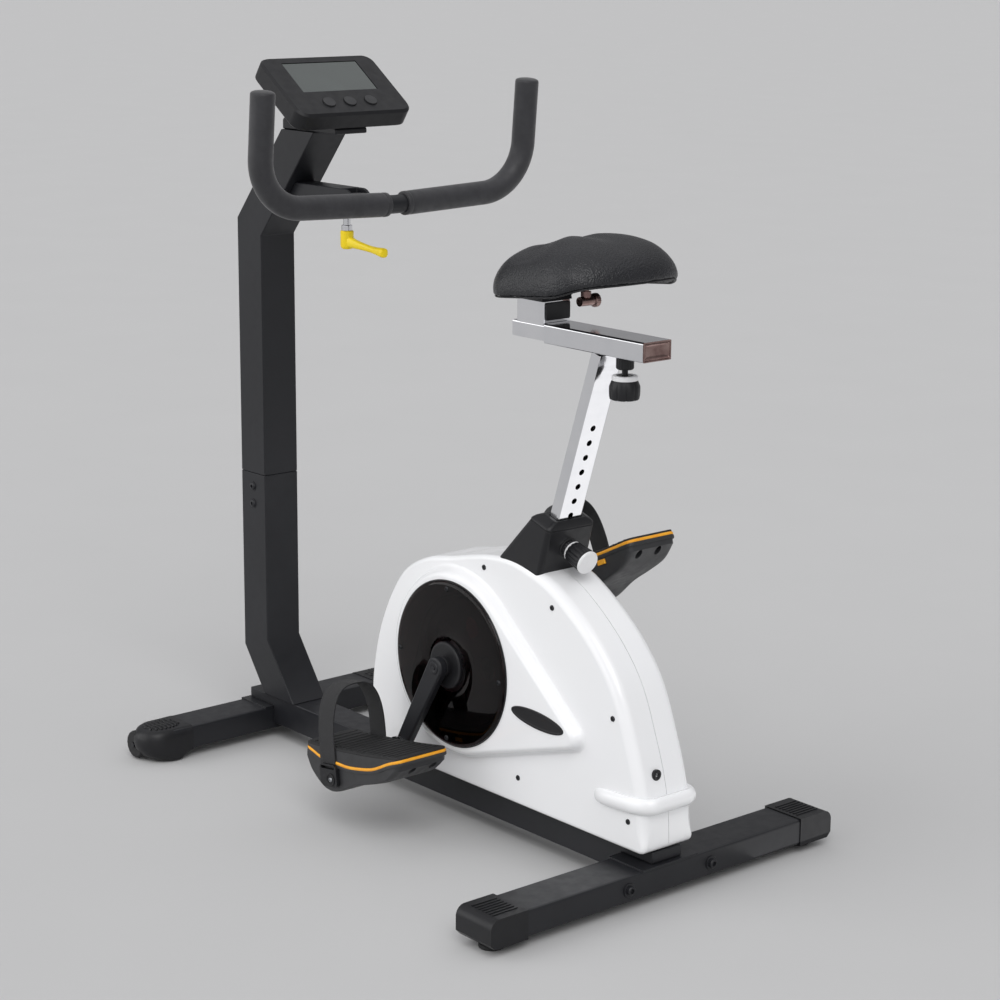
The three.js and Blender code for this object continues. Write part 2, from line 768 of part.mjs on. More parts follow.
// The raised panel: a circle round the crank drawn out to a rounded corner at the rear
function panelOutline(inset) {
  const big = panelRadius - inset;
  const small = panelCornerRadius - inset;
  const across = panelCornerX;
  const down = panelCornerZ - crankHeight;
  const reach = Math.hypot(across, down);
  const heading = Math.atan2(down, across);
  const open = Math.acos((big - small) / reach);
  const shape = new THREE.Shape();
  shape.absarc(0, crankHeight, big, heading + open, heading - open + Math.PI * 2, false);
  shape.absarc(panelCornerX, panelCornerZ, small, heading - open, heading + open, false);
  return shape;
}

const sleeveWall = 3;
const postWidth = 50;
const postDepth = 20;
const postWall = 2;
const postClearance = 0.8;
const sleeveHalf = postWidth / 2 + postClearance + sleeveWall;
const sleeveDepthHalf = postDepth / 2 + postClearance + sleeveWall;

// The post's frame: origin on its centre line level with the reference hole, z up the post
const postOriginX = postHoleX - (postDepth / 2) * Math.cos(postLean);
const postOriginZ = postHoleZ + (postDepth / 2) * Math.sin(postLean);

function inPostFrame(geometry) {
  const lean = new THREE.Matrix4().makeRotationY(postLean);
  return geometry.applyMatrix4(lean).translate(postOriginX, 0, postOriginZ);
}

function housingBody() {
  const body = softSideExtrude(housingOutline(0, 0), -housingHalf, housingHalf, shellEdge, 2, 12);
  const panel = softSideExtrude(panelOutline(0), -panelHalf, panelHalf, panelEdge, 2, 11);
  const lipLength = lipRearX - lipFrontX;
  const lip = new THREE.Shape();
  lip.moveTo(lipFrontX, -housingHalf);
  lip.quadraticCurveTo(lipFrontX + lipLength * 0.3, -lipHalf, lipRearX - lipLength * 0.35, -lipHalf);
  lip.quadraticCurveTo(lipRearX, -lipHalf, lipRearX, -lipHalf * 0.45);
  lip.lineTo(lipRearX, lipHalf * 0.45);
  lip.quadraticCurveTo(lipRearX, lipHalf, lipRearX - lipLength * 0.35, lipHalf);
  lip.quadraticCurveTo(lipFrontX + lipLength * 0.3, lipHalf, lipFrontX, housingHalf);
  const lipSolid = new THREE.ExtrudeGeometry(lip, {
    depth: lipTopZ - lipBottomZ - 2 * lipEdge,
    bevelEnabled: true,
    bevelSize: lipEdge,
    bevelThickness: lipEdge,
    bevelOffset: -lipEdge,
    bevelSegments: 2,
    curveSegments: 5,
  }).translate(0, 0, lipBottomZ + lipEdge);
  return join(body, panel, lipSolid);
}

function housingHollow() {
  const innerHalf = housingHalf - shellWall;
  const inner = sideExtrude(housingOutline(shellWall, overrun), -innerHalf, innerHalf, 12);
  const panelInnerHalf = panelHalf - shellWall;
  const panel = sideExtrude(panelOutline(shellWall + panelEdge), -panelInnerHalf, panelInnerHalf, 11);
  const porthole = disc(windowRadius - shellEdge, -panelHalf - overrun, panelHalf + overrun, fineSides);
  const roomX = sleeveDepthHalf + gap * 2;
  const roomY = sleeveHalf + gap * 2;
  const postRoom = inPostFrame(block(-roomX, roomX, -roomY, roomY, -mastSize * 3, mastSize));
  const inlet = alongX(disc(inletRadius + gap, -overrun * 3, overrun * 3, roundSides));
  inlet.translate(inletX, inletY, inletZ);
  return [inner, panel, porthole.translate(0, 0, crankHeight), postRoom, inlet];
}

const inletX = 411;
const inletY = -16;
const inletZ = 194;
const inletRadius = 7;
const inletFlange = 10;
const inletFlangeDepth = 2;

function housingShell(body, side) {
  const reach = housingRearX * 2;
  const half = side < 0
    ? block(-reach, reach, -reach, -gap / 2, 0, reach)
    : block(-reach, reach, gap / 2, reach, 0, reach);
  return piece(`housing_${sideNames.get(side)}`, common(body, half), shellWhite);
}

function housings() {
  const body = cut(housingBody(), ...housingHollow());
  return [housingShell(body, -1), housingShell(body, 1)];
}

// Power inlet in the rear face
function powerInlet() {
  const flangeEnd = overrun + inletFlangeDepth;
  const barrel = turned([
    [inletRadius / 2, -overrun * 2], [inletRadius, -overrun * 2], [inletRadius, overrun],
    [inletFlange, overrun], [inletFlange, flangeEnd], [inletRadius / 2, flangeEnd],
    [inletRadius / 2, -overrun * 2],
  ], roundSides);
  return piece('power_inlet', alongX(barrel).translate(inletX, inletY, inletZ), plasticBlack);
}

// Smoked windows over the drive on both sides
const windowBore = 44;
const windowThickness = 3;
const windowDome = 5;

function windowCover(side) {
  const face = -panelHalf - gap;
  const rim = windowRadius;
  const step = rim - shellEdge - runningGap * 2;
  const profile = [
    [windowBore, face - windowDome], [windowBore, face - windowDome - windowThickness],
    [step * 0.7, face - windowDome - windowThickness], [rim, face - windowThickness / 2], [rim, face],
    [step, face], [step - windowThickness * 2, face], [step * 0.7, face - windowDome],
    [windowBore, face - windowDome],
  ];
  const cover = turned(profile, fineSides).translate(0, 0, crankHeight);
  return piece(`window_${sideNames.get(side)}`, mirrored(cover, side), smoked);
}

// Drive: crank axle, pulley, belt, idler and flywheel
const axleRadius = 10;
const axleHalf = 106;
const shellRadius = 23;
const shellHalf = 30;
const pulleyRadius = 106;
const pulleyRearY = -47;
const pulleyFrontY = -35;
const beltThickness = 3;
const beltGap = 0.5;
const beltInset = 1;
const pulleyWebInset = 3;
const axleCollarDepth = 4;
const flyX = -112;
const flyZ = 184;
const flyRadius = 88;
const flyPulleyRadius = 26;
const flyFrontY = 14;
const flyThickness = 24;
const flyAxleRadius = 8;
const flyHubProud = 6;
const idlerX = -72;
const idlerRadius = 16;
const idlerArmThickness = 5;
const webHalf = 4;
const basePlateFrontX = -190;
const basePlateRearX = 262;
const basePlateThickness = 6;

function crankAxle() {
  const axle = disc(axleRadius, -axleHalf, axleHalf, roundSides);
  const collar = disc(axleRadius * 1.8, -shellHalf - gap - axleCollarDepth, -shellHalf - gap, roundSides);
  return piece('crank_axle', join(axle, collar), steel);
}

function drivePulley() {
  const hubRadius = 26;
  const rimDepth = 10;
  const rim = pulleyRadius - rimDepth;
  const webRearY = pulleyRearY + pulleyWebInset;
  const webFrontY = pulleyFrontY - pulleyWebInset;
  const bore = boreAround(axleRadius, gap, driveSides);
  const plate = turned([
    [bore, pulleyRearY], [hubRadius, pulleyRearY], [hubRadius, webRearY], [rim, webRearY], [rim, pulleyRearY],
    [pulleyRadius, pulleyRearY], [pulleyRadius, pulleyFrontY], [rim, pulleyFrontY], [rim, webFrontY],
    [hubRadius, webFrontY], [hubRadius, pulleyFrontY], [bore, pulleyFrontY], [bore, pulleyRearY],
  ], driveSides);
  const holeCount = 5;
  const windowHoleRadius = 20;
  const holes = [];
  for (let i = 0; i < holeCount; i += 1) {
    const angle = (i / holeCount) * Math.PI * 2;
    const reach = (hubRadius + rim) / 2;
    const hole = disc(windowHoleRadius, pulleyRearY - overrun, pulleyFrontY + overrun, smallSides);
    holes.push(hole.translate(reach * Math.cos(angle), 0, reach * Math.sin(angle)));
  }
  return piece('drive_pulley', cut(plate, ...holes), castIron);
}

// The belt's loop round both pulleys, at an offset out from their rims
function beltOutline(offset) {
  const big = pulleyRadius + offset;
  const small = flyPulleyRadius + offset;
  const across = flyX;
  const down = flyZ - crankHeight;
  const reach = Math.hypot(across, down);
  const heading = Math.atan2(down, across);
  const open = Math.acos((big - small) / reach);
  const shape = new THREE.Shape();
  shape.absarc(0, crankHeight, big, heading + open, heading - open + Math.PI * 2, false);
  shape.absarc(flyX, flyZ, small, heading - open, heading + open, false);
  return shape;
}

function driveBelt() {
  const loop = beltOutline(beltGap + beltThickness);
  loop.holes.push(beltOutline(beltGap));
  const belt = sideExtrude(loop, pulleyRearY + beltInset, pulleyFrontY - beltInset, 14);
  return piece('drive_belt', belt, rubber);
}

// The idler rides on the belt's lower run from outside
function idlerPlace() {
  const big = pulleyRadius + beltGap + beltThickness;
  const small = flyPulleyRadius + beltGap + beltThickness;
  const down = flyZ - crankHeight;
  const reach = Math.hypot(flyX, down);
  const heading = Math.atan2(down, flyX);
  const open = Math.acos((big - small) / reach);
  const normal = heading + open;
  const onBig = new THREE.Vector2(big * Math.cos(normal), crankHeight + big * Math.sin(normal));
  const onSmall = new THREE.Vector2(flyX + small * Math.cos(normal), flyZ + small * Math.sin(normal));
  const share = (idlerX - onBig.x) / (onSmall.x - onBig.x);
  const touch = onBig.lerp(onSmall, share);
  return [
    touch.x + (idlerRadius + gap) * Math.cos(normal),
    touch.y + (idlerRadius + gap) * Math.sin(normal),
  ];
}

const [idlerCentreX, idlerCentreZ] = idlerPlace();
const idlerArmReach = 58;
const idlerPivotRise = 44;
const idlerPivotX = idlerCentreX + idlerArmReach;
const idlerPivotZ = baseRailTopZ + idlerPivotRise;
const idlerPinRadius = 5;

function idlerArm() {
  const arm = new THREE.Shape();
  const eye = idlerPinRadius * 2.2;
  const heading = Math.atan2(idlerCentreZ - idlerPivotZ, idlerCentreX - idlerPivotX);
  arm.absarc(idlerPivotX, idlerPivotZ, eye, heading + Math.PI / 2, heading + Math.PI * 1.5, false);
  arm.absarc(idlerCentreX, idlerCentreZ, eye, heading - Math.PI / 2, heading + Math.PI / 2, false);
  const rear = pulleyFrontY + beltInset;
  const plate = sideExtrude(arm, rear, rear + idlerArmThickness, 8);
  const room = boreAround(idlerPinRadius, gap, smallSides);
  const hole = disc(room, rear - overrun, rear + overrun * 3, smallSides);
  const pin = disc(idlerPinRadius, pulleyRearY, rear + lap, smallSides);
  const body = join(
    cut(plate, hole.translate(idlerPivotX, 0, idlerPivotZ)),
    pin.translate(idlerCentreX, 0, idlerCentreZ),
  );
  return piece('idler_arm', body, steelBlack);
}

function idlerWheel() {
  const bore = boreAround(idlerPinRadius, gap, roundSides);
  const wheel = ring(bore, idlerRadius, pulleyRearY + beltInset, pulleyFrontY - beltInset, roundSides);
  return piece('idler_wheel', wheel.translate(idlerCentreX, 0, idlerCentreZ), steel);
}

function flywheel() {
  const rimDepth = 26;
  const rim = flyRadius - rimDepth;
  const hub = flyAxleRadius * 3;
  const hubFrontY = flyFrontY - flyHubProud;
  const rearY = flyFrontY + flyThickness;
  const webFrontY = flyFrontY + flyThickness / 3;
  const webRearY = rearY - flyThickness / 3;
  const wheel = turned([
    [0, pulleyRearY - lap], [flyAxleRadius, pulleyRearY - lap], [flyAxleRadius, pulleyRearY],
    [flyPulleyRadius, pulleyRearY], [flyPulleyRadius, pulleyFrontY], [flyAxleRadius, pulleyFrontY],
    [flyAxleRadius, hubFrontY], [hub, hubFrontY], [hub, webFrontY], [rim, webFrontY], [rim, flyFrontY],
    [flyRadius, flyFrontY], [flyRadius, rearY], [rim, rearY], [rim, webRearY], [flyAxleRadius, webRearY],
    [flyAxleRadius, rearY + flyHubProud / 2], [0, rearY + flyHubProud / 2],
  ], driveSides);
  return piece('flywheel', wheel.translate(flyX, 0, flyZ), castIron);
}

const magnetWidth = 8;
const magnetClearance = 3;
const magnetLegHalf = 6;
const magnetArc = THREE.MathUtils.degToRad(70);
const magnetStart = THREE.MathUtils.degToRad(15);

// The brake's magnet shoe lies over the front of the flywheel's rim, on a stand from the base plate
function brakeMagnet() {
  const inner = flyRadius + magnetClearance;
  const outer = inner + magnetWidth;
  const shoe = new THREE.Shape();
  shoe.absarc(flyX, flyZ, outer, Math.PI - magnetStart, Math.PI - magnetStart + magnetArc, false);
  shoe.absarc(flyX, flyZ, inner, Math.PI - magnetStart + magnetArc, Math.PI - magnetStart, true);
  const end = Math.PI - magnetStart + magnetArc;
  const legX = flyX + (inner + magnetWidth / 2) * Math.cos(end);
  const legTopZ = flyZ + (inner + magnetWidth / 2) * Math.sin(end);
  const floor = baseRailTopZ + 2 * gap + basePlateThickness;
  const leg = block(legX - magnetLegHalf, legX + magnetLegHalf, flyFrontY, baseRailWidth / 2, floor, legTopZ);
  const body = join(sideExtrude(shoe, flyFrontY, flyFrontY + flyThickness, 12), leg);
  return piece('brake_magnet', body, steelBlack);
}

// Inner frame: a base plate on the rail, a web with the bearing shells and a rear web to the sleeve
const sleeveTop = -22;
const sleeveBottom = -215;
const webTop = -125;
const webOnSleeve = 20;
const webFootInset = 30;
const webFootRearX = 20;
const webShoulder = 20;
const strutFoot = 66;
const strutFootInset = 8;
const bossInset = 3;

function innerFrame() {
  const floor = baseRailTopZ + gap;
  const plateTop = floor + basePlateThickness;
  const half = baseRailWidth / 2;
  const plate = block(basePlateFrontX, basePlateRearX, -half, half, floor, plateTop);
  const front = -sleeveDepthHalf - gap;
  const onSleeve = (s, x) => [
    postOriginX + x * Math.cos(postLean) + s * Math.sin(postLean),
    postOriginZ - x * Math.sin(postLean) + s * Math.cos(postLean),
  ];
  const web = polygon([
    [basePlateFrontX + webFootInset, plateTop - lap], [flyX - webShoulder, flyZ + flyAxleRadius * 2],
    [-shellRadius, crankHeight + shellRadius],
    onSleeve(webTop, front),
    onSleeve(sleeveBottom + webOnSleeve, front),
    [shellRadius, crankHeight - shellRadius], [webFootRearX, plateTop - lap],
  ]);
  const rear = sleeveDepthHalf + gap;
  const strut = polygon([
    [basePlateRearX - strutFootInset - strutFoot, plateTop - lap], onSleeve(sleeveBottom + webOnSleeve, rear),
    onSleeve(webTop, rear), [basePlateRearX - strutFootInset, plateTop - lap],
  ]);
  const shell = disc(shellRadius, -shellHalf, shellHalf, roundSides).translate(0, 0, crankHeight);
  const bossEndY = flyFrontY - flyHubProud - bossInset;
  const boss = disc(flyAxleRadius * 2, pulleyFrontY + bossInset, bossEndY, roundSides);
  const crankRoom = boreAround(axleRadius, gap, roundSides);
  const crankBore = disc(crankRoom, -shellHalf - overrun, shellHalf + overrun, roundSides);
  const flyRoom = boreAround(flyAxleRadius, gap, roundSides);
  const flyBore = disc(flyRoom, pulleyFrontY, flyFrontY, roundSides).translate(flyX, 0, flyZ);
  const idlerPost = disc(idlerPinRadius, pulleyFrontY + beltInset, 0, smallSides);
  const body = join(
    plate,
    sideExtrude(web, -webHalf, webHalf),
    sideExtrude(strut, -webHalf, webHalf),
    shell,
    boss.translate(flyX, 0, flyZ),
    idlerPost.translate(idlerPivotX, 0, idlerPivotZ),
  );
  return piece('inner_frame', cut(body, crankBore.translate(0, 0, crankHeight), flyBore), steelBlack);
}

// Cranks
const crankInnerY = 91;
const crankThickness = 15;
const crankRootHalf = 17;
const crankTipHalf = 13;
const crankCoverRadius = 38;
const crankCoverDepth = 9;
const crankCoverProud = 2;
const crankEdge = 3;
const spindleFlange = 3;
const spindleLap = 8;
const spindleRadius = 7;
const spindleLength = 104;

// A crank in its own frame: from the axle along -z
function crank(side) {
  const arm = new THREE.Shape();
  arm.absarc(0, 0, crankRootHalf, 0, Math.PI, false);
  arm.absarc(0, -crankLength, crankTipHalf, Math.PI, Math.PI * 2, false);
  const bar = softSideExtrude(arm, -crankInnerY - crankThickness, -crankInnerY, crankEdge, 1, 8);
  const cover = turned([
    [0, -crankInnerY - crankCoverProud], [crankCoverRadius * 0.8, -crankInnerY - crankCoverProud],
    [crankCoverRadius, -crankInnerY + crankCoverProud],
    [crankCoverRadius, -crankInnerY + crankCoverDepth], [0, -crankInnerY + crankCoverDepth],
  ], roundSides);
  const outer = -crankInnerY - crankThickness - overrun;
  const axleRoom = boreAround(axleRadius, gap, roundSides);
  const axleHole = disc(axleRoom, outer, -crankInnerY + overrun * 3, roundSides);
  const spindleRoom = boreAround(spindleRadius, gap, smallSides);
  const spindleHole = disc(spindleRoom, outer, -crankInnerY + overrun, smallSides);
  const body = cut(join(bar, cover), axleHole, spindleHole.translate(0, 0, -crankLength));
  return piece(`crank_${sideNames.get(side)}`, mirrored(body, side), steelBlack);
}

function pedalSpindle(side) {
  const face = -crankInnerY - crankThickness;
  const spindle = disc(spindleRadius, face - spindleLength, face + spindleLap, smallSides);
  const flange = disc(spindleRadius * 1.6, face - gap - spindleFlange, face - gap, smallSides);
  const body = join(spindle, flange).translate(0, 0, -crankLength);
  return piece(`pedal_spindle_${sideNames.get(side)}`, mirrored(body, side), steel);
}

// Pedals: long moulded foot plates, deep at the toe, about the spindle
const pedalInnerY = 116;
const pedalWidth = 100;
const pedalTop = 15;
const pedalToe = 114;
const pedalHeel = 136;
const pedalDepth = 78;
const pedalEdge = 5;
const buckleLength = 46;
const buckleHeight = 30;
const buckleProud = 7;
const buckleCorner = 6;
const buckleEdge = 3;
const strapWidth = 40;
const strapThickness = 2.4;
const strapArch = 92;
const strapSteps = 14;

// Shares of the toe or heel length and of the depth below the top, from the toe round under to the heel
const pedalUnderShares = [
  [-1, 0.32], [-0.9, 0.62], [-0.68, 0.9], [-0.5, 1], [-0.28, 0.98], [0.12, 0.78], [0.45, 0.67], [0.75, 0.54],
  [0.97, 0.29],
];

// The same from the heel back over the dished deck to the toe
const pedalDeckShares = [[1, 0], [0.5, 0.04], [0, 0.05], [-0.5, 0.04], [-0.93, 0]];
const buckleShare = 0.28;
const strapFootShare = 0.25;
const strapShare = 0.42;

function pedalProfile() {
  const place = ([along, down]) => [
    along * (along < 0 ? pedalToe : pedalHeel),
    pedalTop - down * pedalDepth,
  ];
  return polygon([...pedalUnderShares, ...pedalDeckShares].map(place).reverse());
}

function pedal(side) {
  const outerY = -pedalInnerY - pedalWidth;
  const body = softSideExtrude(pedalProfile(), outerY, -pedalInnerY, pedalEdge, 2, 4);
  const buckleX = -pedalToe * strapShare;
  const buckleTop = pedalTop - pedalDepth * buckleShare;
  const buckle = softSideExtrude(
    roundedRectangle(
      buckleX - buckleLength / 2, buckleX + buckleLength / 2,
      buckleTop - buckleHeight, buckleTop, buckleCorner,
    ),
    outerY - buckleProud, outerY + overrun, buckleEdge, 1, 4,
  );
  const bore = disc(boreAround(spindleRadius, gap, smallSides), -pedalInnerY - spindleLength, 0, smallSides);
  return piece(`pedal_${sideNames.get(side)}`, mirrored(cut(join(body, buckle), bore), side), plasticGrey);
}

// The strap arches over the plate from the buckle's side to the crank's side
function pedalStrap(side) {
  const outerY = -pedalInnerY - pedalWidth;
  const middleY = outerY + pedalWidth / 2;
  const half = pedalWidth / 2 + gap;
  const foot = pedalTop - pedalDepth * strapFootShare;
  const arch = (reach) => {
    const points = [];
    for (let i = 0; i <= strapSteps; i += 1) {
      const angle = (Math.PI * i) / strapSteps;
      const flat = Math.sign(Math.cos(angle)) * Math.abs(Math.cos(angle)) ** 0.7;
      const rise = Math.sin(angle) ** 0.8;
      points.push([middleY - (half + reach) * flat, pedalTop + (strapArch + reach) * rise]);
    }
    return points;
  };
  const outer = arch(strapThickness);
  const inner = arch(0).reverse();
  const outline = polygon([
    [outer[0][0], foot], ...outer, [outer[strapSteps][0], foot],
    [inner[0][0], foot], ...inner, [inner[strapSteps][0], foot],
  ].reverse());
  const x = -pedalToe * strapShare;
  const strap = lengthExtrude(outline, x - strapWidth / 2, x + strapWidth / 2);
  return piece(`pedal_strap_${sideNames.get(side)}`, mirrored(strap, side), webbing);
}

const pedalPitch = new Map([[-1, THREE.MathUtils.degToRad(8)], [1, THREE.MathUtils.degToRad(24)]]);

function crankGroup() {
  const group = groupOf(crankAxle(), drivePulley());
  [-1, 1].forEach((side) => {
    const arm = groupOf(crank(side), pedalSpindle(side));
    const swing = side < 0 ? crankForwardAngle : crankForwardAngle + Math.PI;
    arm.rotation.y = swing;
    const plate = groupOf(pedal(side), pedalStrap(side));
    plate.position.set(0, 0, -crankLength);
    plate.rotation.y = -swing - pedalPitch.get(side);
    arm.add(plate);
    group.add(arm);
  });
  group.position.set(0, 0, crankHeight);
  return group;
}

// Seat sleeve, shroud and height plunger, all in the post's frame
const holePitch = 25;
const holeRadius = 5;
const plungerHole = -2;
const lowestHole = -6;
const highestHole = 6;
const postBottom = -172;
const barrelRadius = 9;
const barrelLength = 21;
const knobRadius = 18;
const knobLength = 34;
const knobRibs = 12;
const knobEdge = 4;
const knobRibHalf = 1.5;
const pinRadius = 4.5;

function seatSleeve() {
  const outer = block(-sleeveDepthHalf, sleeveDepthHalf, -sleeveHalf, sleeveHalf, sleeveBottom, sleeveTop);
  const inner = block(
    -postDepth / 2 - postClearance, postDepth / 2 + postClearance,
    -postWidth / 2 - postClearance, postWidth / 2 + postClearance,
    sleeveBottom - overrun, sleeveTop + overrun,
  );
  const barrelRoom = boreAround(barrelRadius, gap, roundSides);
  const pinHole = alongX(disc(barrelRoom, 0, sleeveDepthHalf + overrun, roundSides));
  const sleeve = cut(outer, inner, pinHole.translate(0, 0, plungerHole * holePitch));
  return piece('seat_sleeve', sleeve, steelBlack);
}

const shroudBaseFront = -79;
const shroudBaseRear = 26;
const shroudBaseHalf = 49;
const shroudBottom = -125;
const rimFront = -27;
const rimRear = 19.5;
const rimHalf = 47.5;
const rimZ = -15;
const collarFront = -17;
const collarRear = 14;
const collarHalf = 32;
const collarTop = -5;

// The shroud is a four-sided cover that narrows up to a rim, with a bevelled top round the post
function postShroud() {
  const skirt = new THREE.BufferGeometry();
  const rings = [
    [shroudBaseFront, shroudBaseRear, shroudBaseHalf, shroudBottom],
    [rimFront, rimRear, rimHalf, rimZ],
    [collarFront, collarRear, collarHalf, collarTop],
  ];
  const positions = rings.flatMap(([front, rear, half, z]) => [
    front, -half, z, rear, -half, z, rear, half, z, front, half, z,
  ]);
  const faces = [0, 2, 1, 0, 3, 2];
  for (let level = 0; level < rings.length - 1; level += 1) {
    for (let i = 0; i < 4; i += 1) {
      const a = level * 4 + i;
      const b = level * 4 + ((i + 1) % 4);
      faces.push(a, b, b + 4, a, b + 4, a + 4);
    }
  }
  const last = (rings.length - 1) * 4;
  faces.push(last, last + 1, last + 2, last, last + 2, last + 3);
  skirt.setAttribute('position', new THREE.BufferAttribute(new Float32Array(positions), 3));
  skirt.setIndex(faces);
  const room = block(
    -sleeveDepthHalf - gap, sleeveDepthHalf + gap, -sleeveHalf - gap, sleeveHalf + gap,
    shroudBottom - overrun, sleeveTop + gap,
  );
  const mouth = block(
    -postDepth / 2 - postClearance, postDepth / 2 + postClearance,
    -postWidth / 2 - postClearance, postWidth / 2 + postClearance, sleeveTop, collarTop + overrun,
  );
  const port = alongX(disc(boreAround(barrelRadius, gap, roundSides), 0, mastSize, roundSides));
  return cut(skirt, room, mouth, port.translate(0, 0, plungerHole * holePitch));
}

// The housing's outside, grown by a gap, trims the shroud where the two meet
function shroudPiece() {
  const half = housingHalf + gap;
  const grown = softSideExtrude(housingOutline(-gap, 0), -half, half, shellEdge, 2, 12);
  const shroud = inPostFrame(postShroud());
  return piece('post_shroud', cut(shroud, grown), plasticBlack);
}

function plungerBarrel() {
  const start = sleeveDepthHalf + gap - sleeveWall;
  const bore = boreAround(pinRadius, gap, roundSides);
  const barrel = ring(bore, barrelRadius, start, start + barrelLength, roundSides);
  return piece('height_knob_barrel', alongX(barrel).translate(0, 0, plungerHole * holePitch), chrome);
}

// Grip ribs round a knob of a radius, between two places along its axis
function knobRibsAround(radius, from, to) {
  const ribs = [];
  for (let i = 0; i < knobRibs; i += 1) {
    const rib = block(-knobRibHalf, knobRibHalf, from, to, radius - knobRibHalf, radius + knobRibHalf);
    ribs.push(rib.rotateY((i / knobRibs) * Math.PI * 2));
  }
  return ribs;
}

// The knob and its pin: the profile runs out from the pin's tip
function heightKnob() {
  const tip = postDepth / 2 + gap * 2;
  const seat = sleeveDepthHalf - sleeveWall + gap * 2 + barrelLength;
  const bodyEnd = seat + knobLength;
  const capEnd = bodyEnd + overrun;
  const core = turned([
    [0, tip], [pinRadius, tip], [pinRadius, seat], [knobRadius * 0.75, seat], [knobRadius, seat + knobEdge],
    [knobRadius, bodyEnd - knobEdge], [knobRadius * 0.9, bodyEnd], [knobRadius * 0.75, capEnd], [0, capEnd],
  ], roundSides);
  const ribs = knobRibsAround(knobRadius, seat + knobEdge, bodyEnd - knobEdge);
  const knob = piece('height_knob', alongX(join(core, ...ribs)), plasticBlack);
  knob.position.set(0, 0, plungerHole * holePitch);
  return knob;
}

// Seat post with its row of holes in the rear wall
const railHeight = 30;
const railWidth = 56;
const railWall = 2;
const sectionCorner = 3;
const boreCorner = 1;
const postRise = (railTopZ - railHeight - gap - postOriginZ) / Math.cos(postLean);
const postTop = postRise - (postDepth / 2) * Math.tan(postLean);

function seatPost() {
  const half = postWidth / 2;
  const deep = postDepth / 2;
  const skin = heightExtrude(roundedRectangle(-deep, deep, -half, half, sectionCorner), postBottom, postTop);
  const bore = heightExtrude(
    roundedRectangle(-deep + postWall, deep - postWall, -half + postWall, half - postWall, boreCorner),
    postBottom - overrun, postTop + overrun,
  );
  const holes = [];
  for (let i = lowestHole; i <= highestHole; i += 1) {
    holes.push(alongX(disc(holeRadius, 0, deep + overrun, smallSides)).translate(0, 0, i * holePitch));
  }
  return piece('seat_post', cut(skin, bore, ...holes), chrome);
}

function seatFrameGroup() {
  const group = groupOf(seatSleeve(), plungerBarrel(), heightKnob(), seatPost());
  group.position.set(postOriginX, 0, postOriginZ);
  group.rotation.y = postLean;
  return group;
}

// Saddle rail, slider and saddle
const railClearance = 0.6;
const sliderFrontX = 90;
const sliderRearX = 322;
const sliderWidth = railWidth - 2 * railWall - 2 * railClearance;
const sliderHeight = railHeight - 2 * railWall - 2 * railClearance;
const sliderTopZ = railTopZ - railWall - railClearance;
const uprightFrontX = 101;
const uprightClearance = 2;
const uprightRearX = railFrontX - uprightClearance;
const uprightTopZ = 870;
const uprightHalf = 27;
const railKnobX = 313;
const railKnobRadius = 23;
const railKnobLength = 32;
const railBarrelLength = 34;
const railBarrelRadius = 11;
const railCollarRadius = 19.5;
const railCollarDepth = 4;
const railKnobEdge = 9;
const plugThickness = 3;

function saddleRail() {
  const half = railWidth / 2;
  const bottom = railTopZ - railHeight;
  const outer = roundedRectangle(-half, half, bottom, railTopZ, sectionCorner);
  const inner = roundedRectangle(
    -half + railWall, half - railWall, bottom + railWall, railTopZ - railWall, boreCorner,
  );
  const tube = cut(
    lengthExtrude(outer, railFrontX, railRearX),
    lengthExtrude(inner, railFrontX - overrun, railRearX + overrun),
  );
  const pinBore = boreAround(pinRadius, gap, smallSides);
  const pinHole = alongZ(disc(pinBore, bottom - overrun, bottom + railHeight / 2, smallSides));
  return piece('saddle_rail', cut(tube, pinHole.translate(railKnobX, 0, 0)), chrome);
}

function railPlug() {
  const inset = railWall + gap;
  const half = railWidth / 2 - inset;
  const outline = roundedRectangle(-half, half, railTopZ - railHeight + inset, railTopZ - inset, boreCorner);
  const plug = lengthExtrude(outline, railRearX - plugLength, railRearX - plugThickness / 3);
  return piece('rail_plug', plug, plasticBlack);
}

function saddleSlider() {
  const half = sliderWidth / 2;
  const outline = roundedRectangle(-half, half, sliderTopZ - sliderHeight, sliderTopZ, sectionCorner);
  const bar = lengthExtrude(outline, sliderFrontX, sliderRearX);
  const section = roundedRectangle(uprightFrontX, uprightRearX, -uprightHalf, uprightHalf, sectionCorner);
  const upright = heightExtrude(section, sliderTopZ - lap, uprightTopZ);
  return piece('saddle_slider', join(bar, upright), chrome);
}

function railKnobBarrel() {
  const end = gap + railBarrelLength;
  const barrel = ring(boreAround(pinRadius, gap, roundSides), railBarrelRadius, gap, end, roundSides);
  const collar = ring(railBarrelRadius - lap, railCollarRadius, end - railCollarDepth, end, roundSides);
  const body = join(barrel, collar).rotateX(-Math.PI / 2);
  return piece('rail_knob_barrel', body.translate(railKnobX, 0, railTopZ - railHeight), plasticBlack);
}

// Saddle clamp, shell and cushion
const clampBoltX = 150;
const clampBoltZ = 884;
const clampBoltRadius = 6;
const clampEye = 9;
const clampHalf = 30;
const clampBoltProud = 14;
const earThickness = 6;
const earEye = 11;
const saddleFrontX = 60;
const saddleRearX = 346;
const saddleHalf = 125;
const saddleNoseHalf = 42;
const saddleThickness = 50;
const saddleRearRise = 12;
const saddleChannel = 7;
const saddleTilt = THREE.MathUtils.degToRad(-6);
const panDepth = 8;
const panLift = 12;
const saddleSides = 48;
const saddleSquareness = 5;
const skirtDrop = 19;
const skirtRearShare = 0.45;
const skirtNoseShare = 0.6;

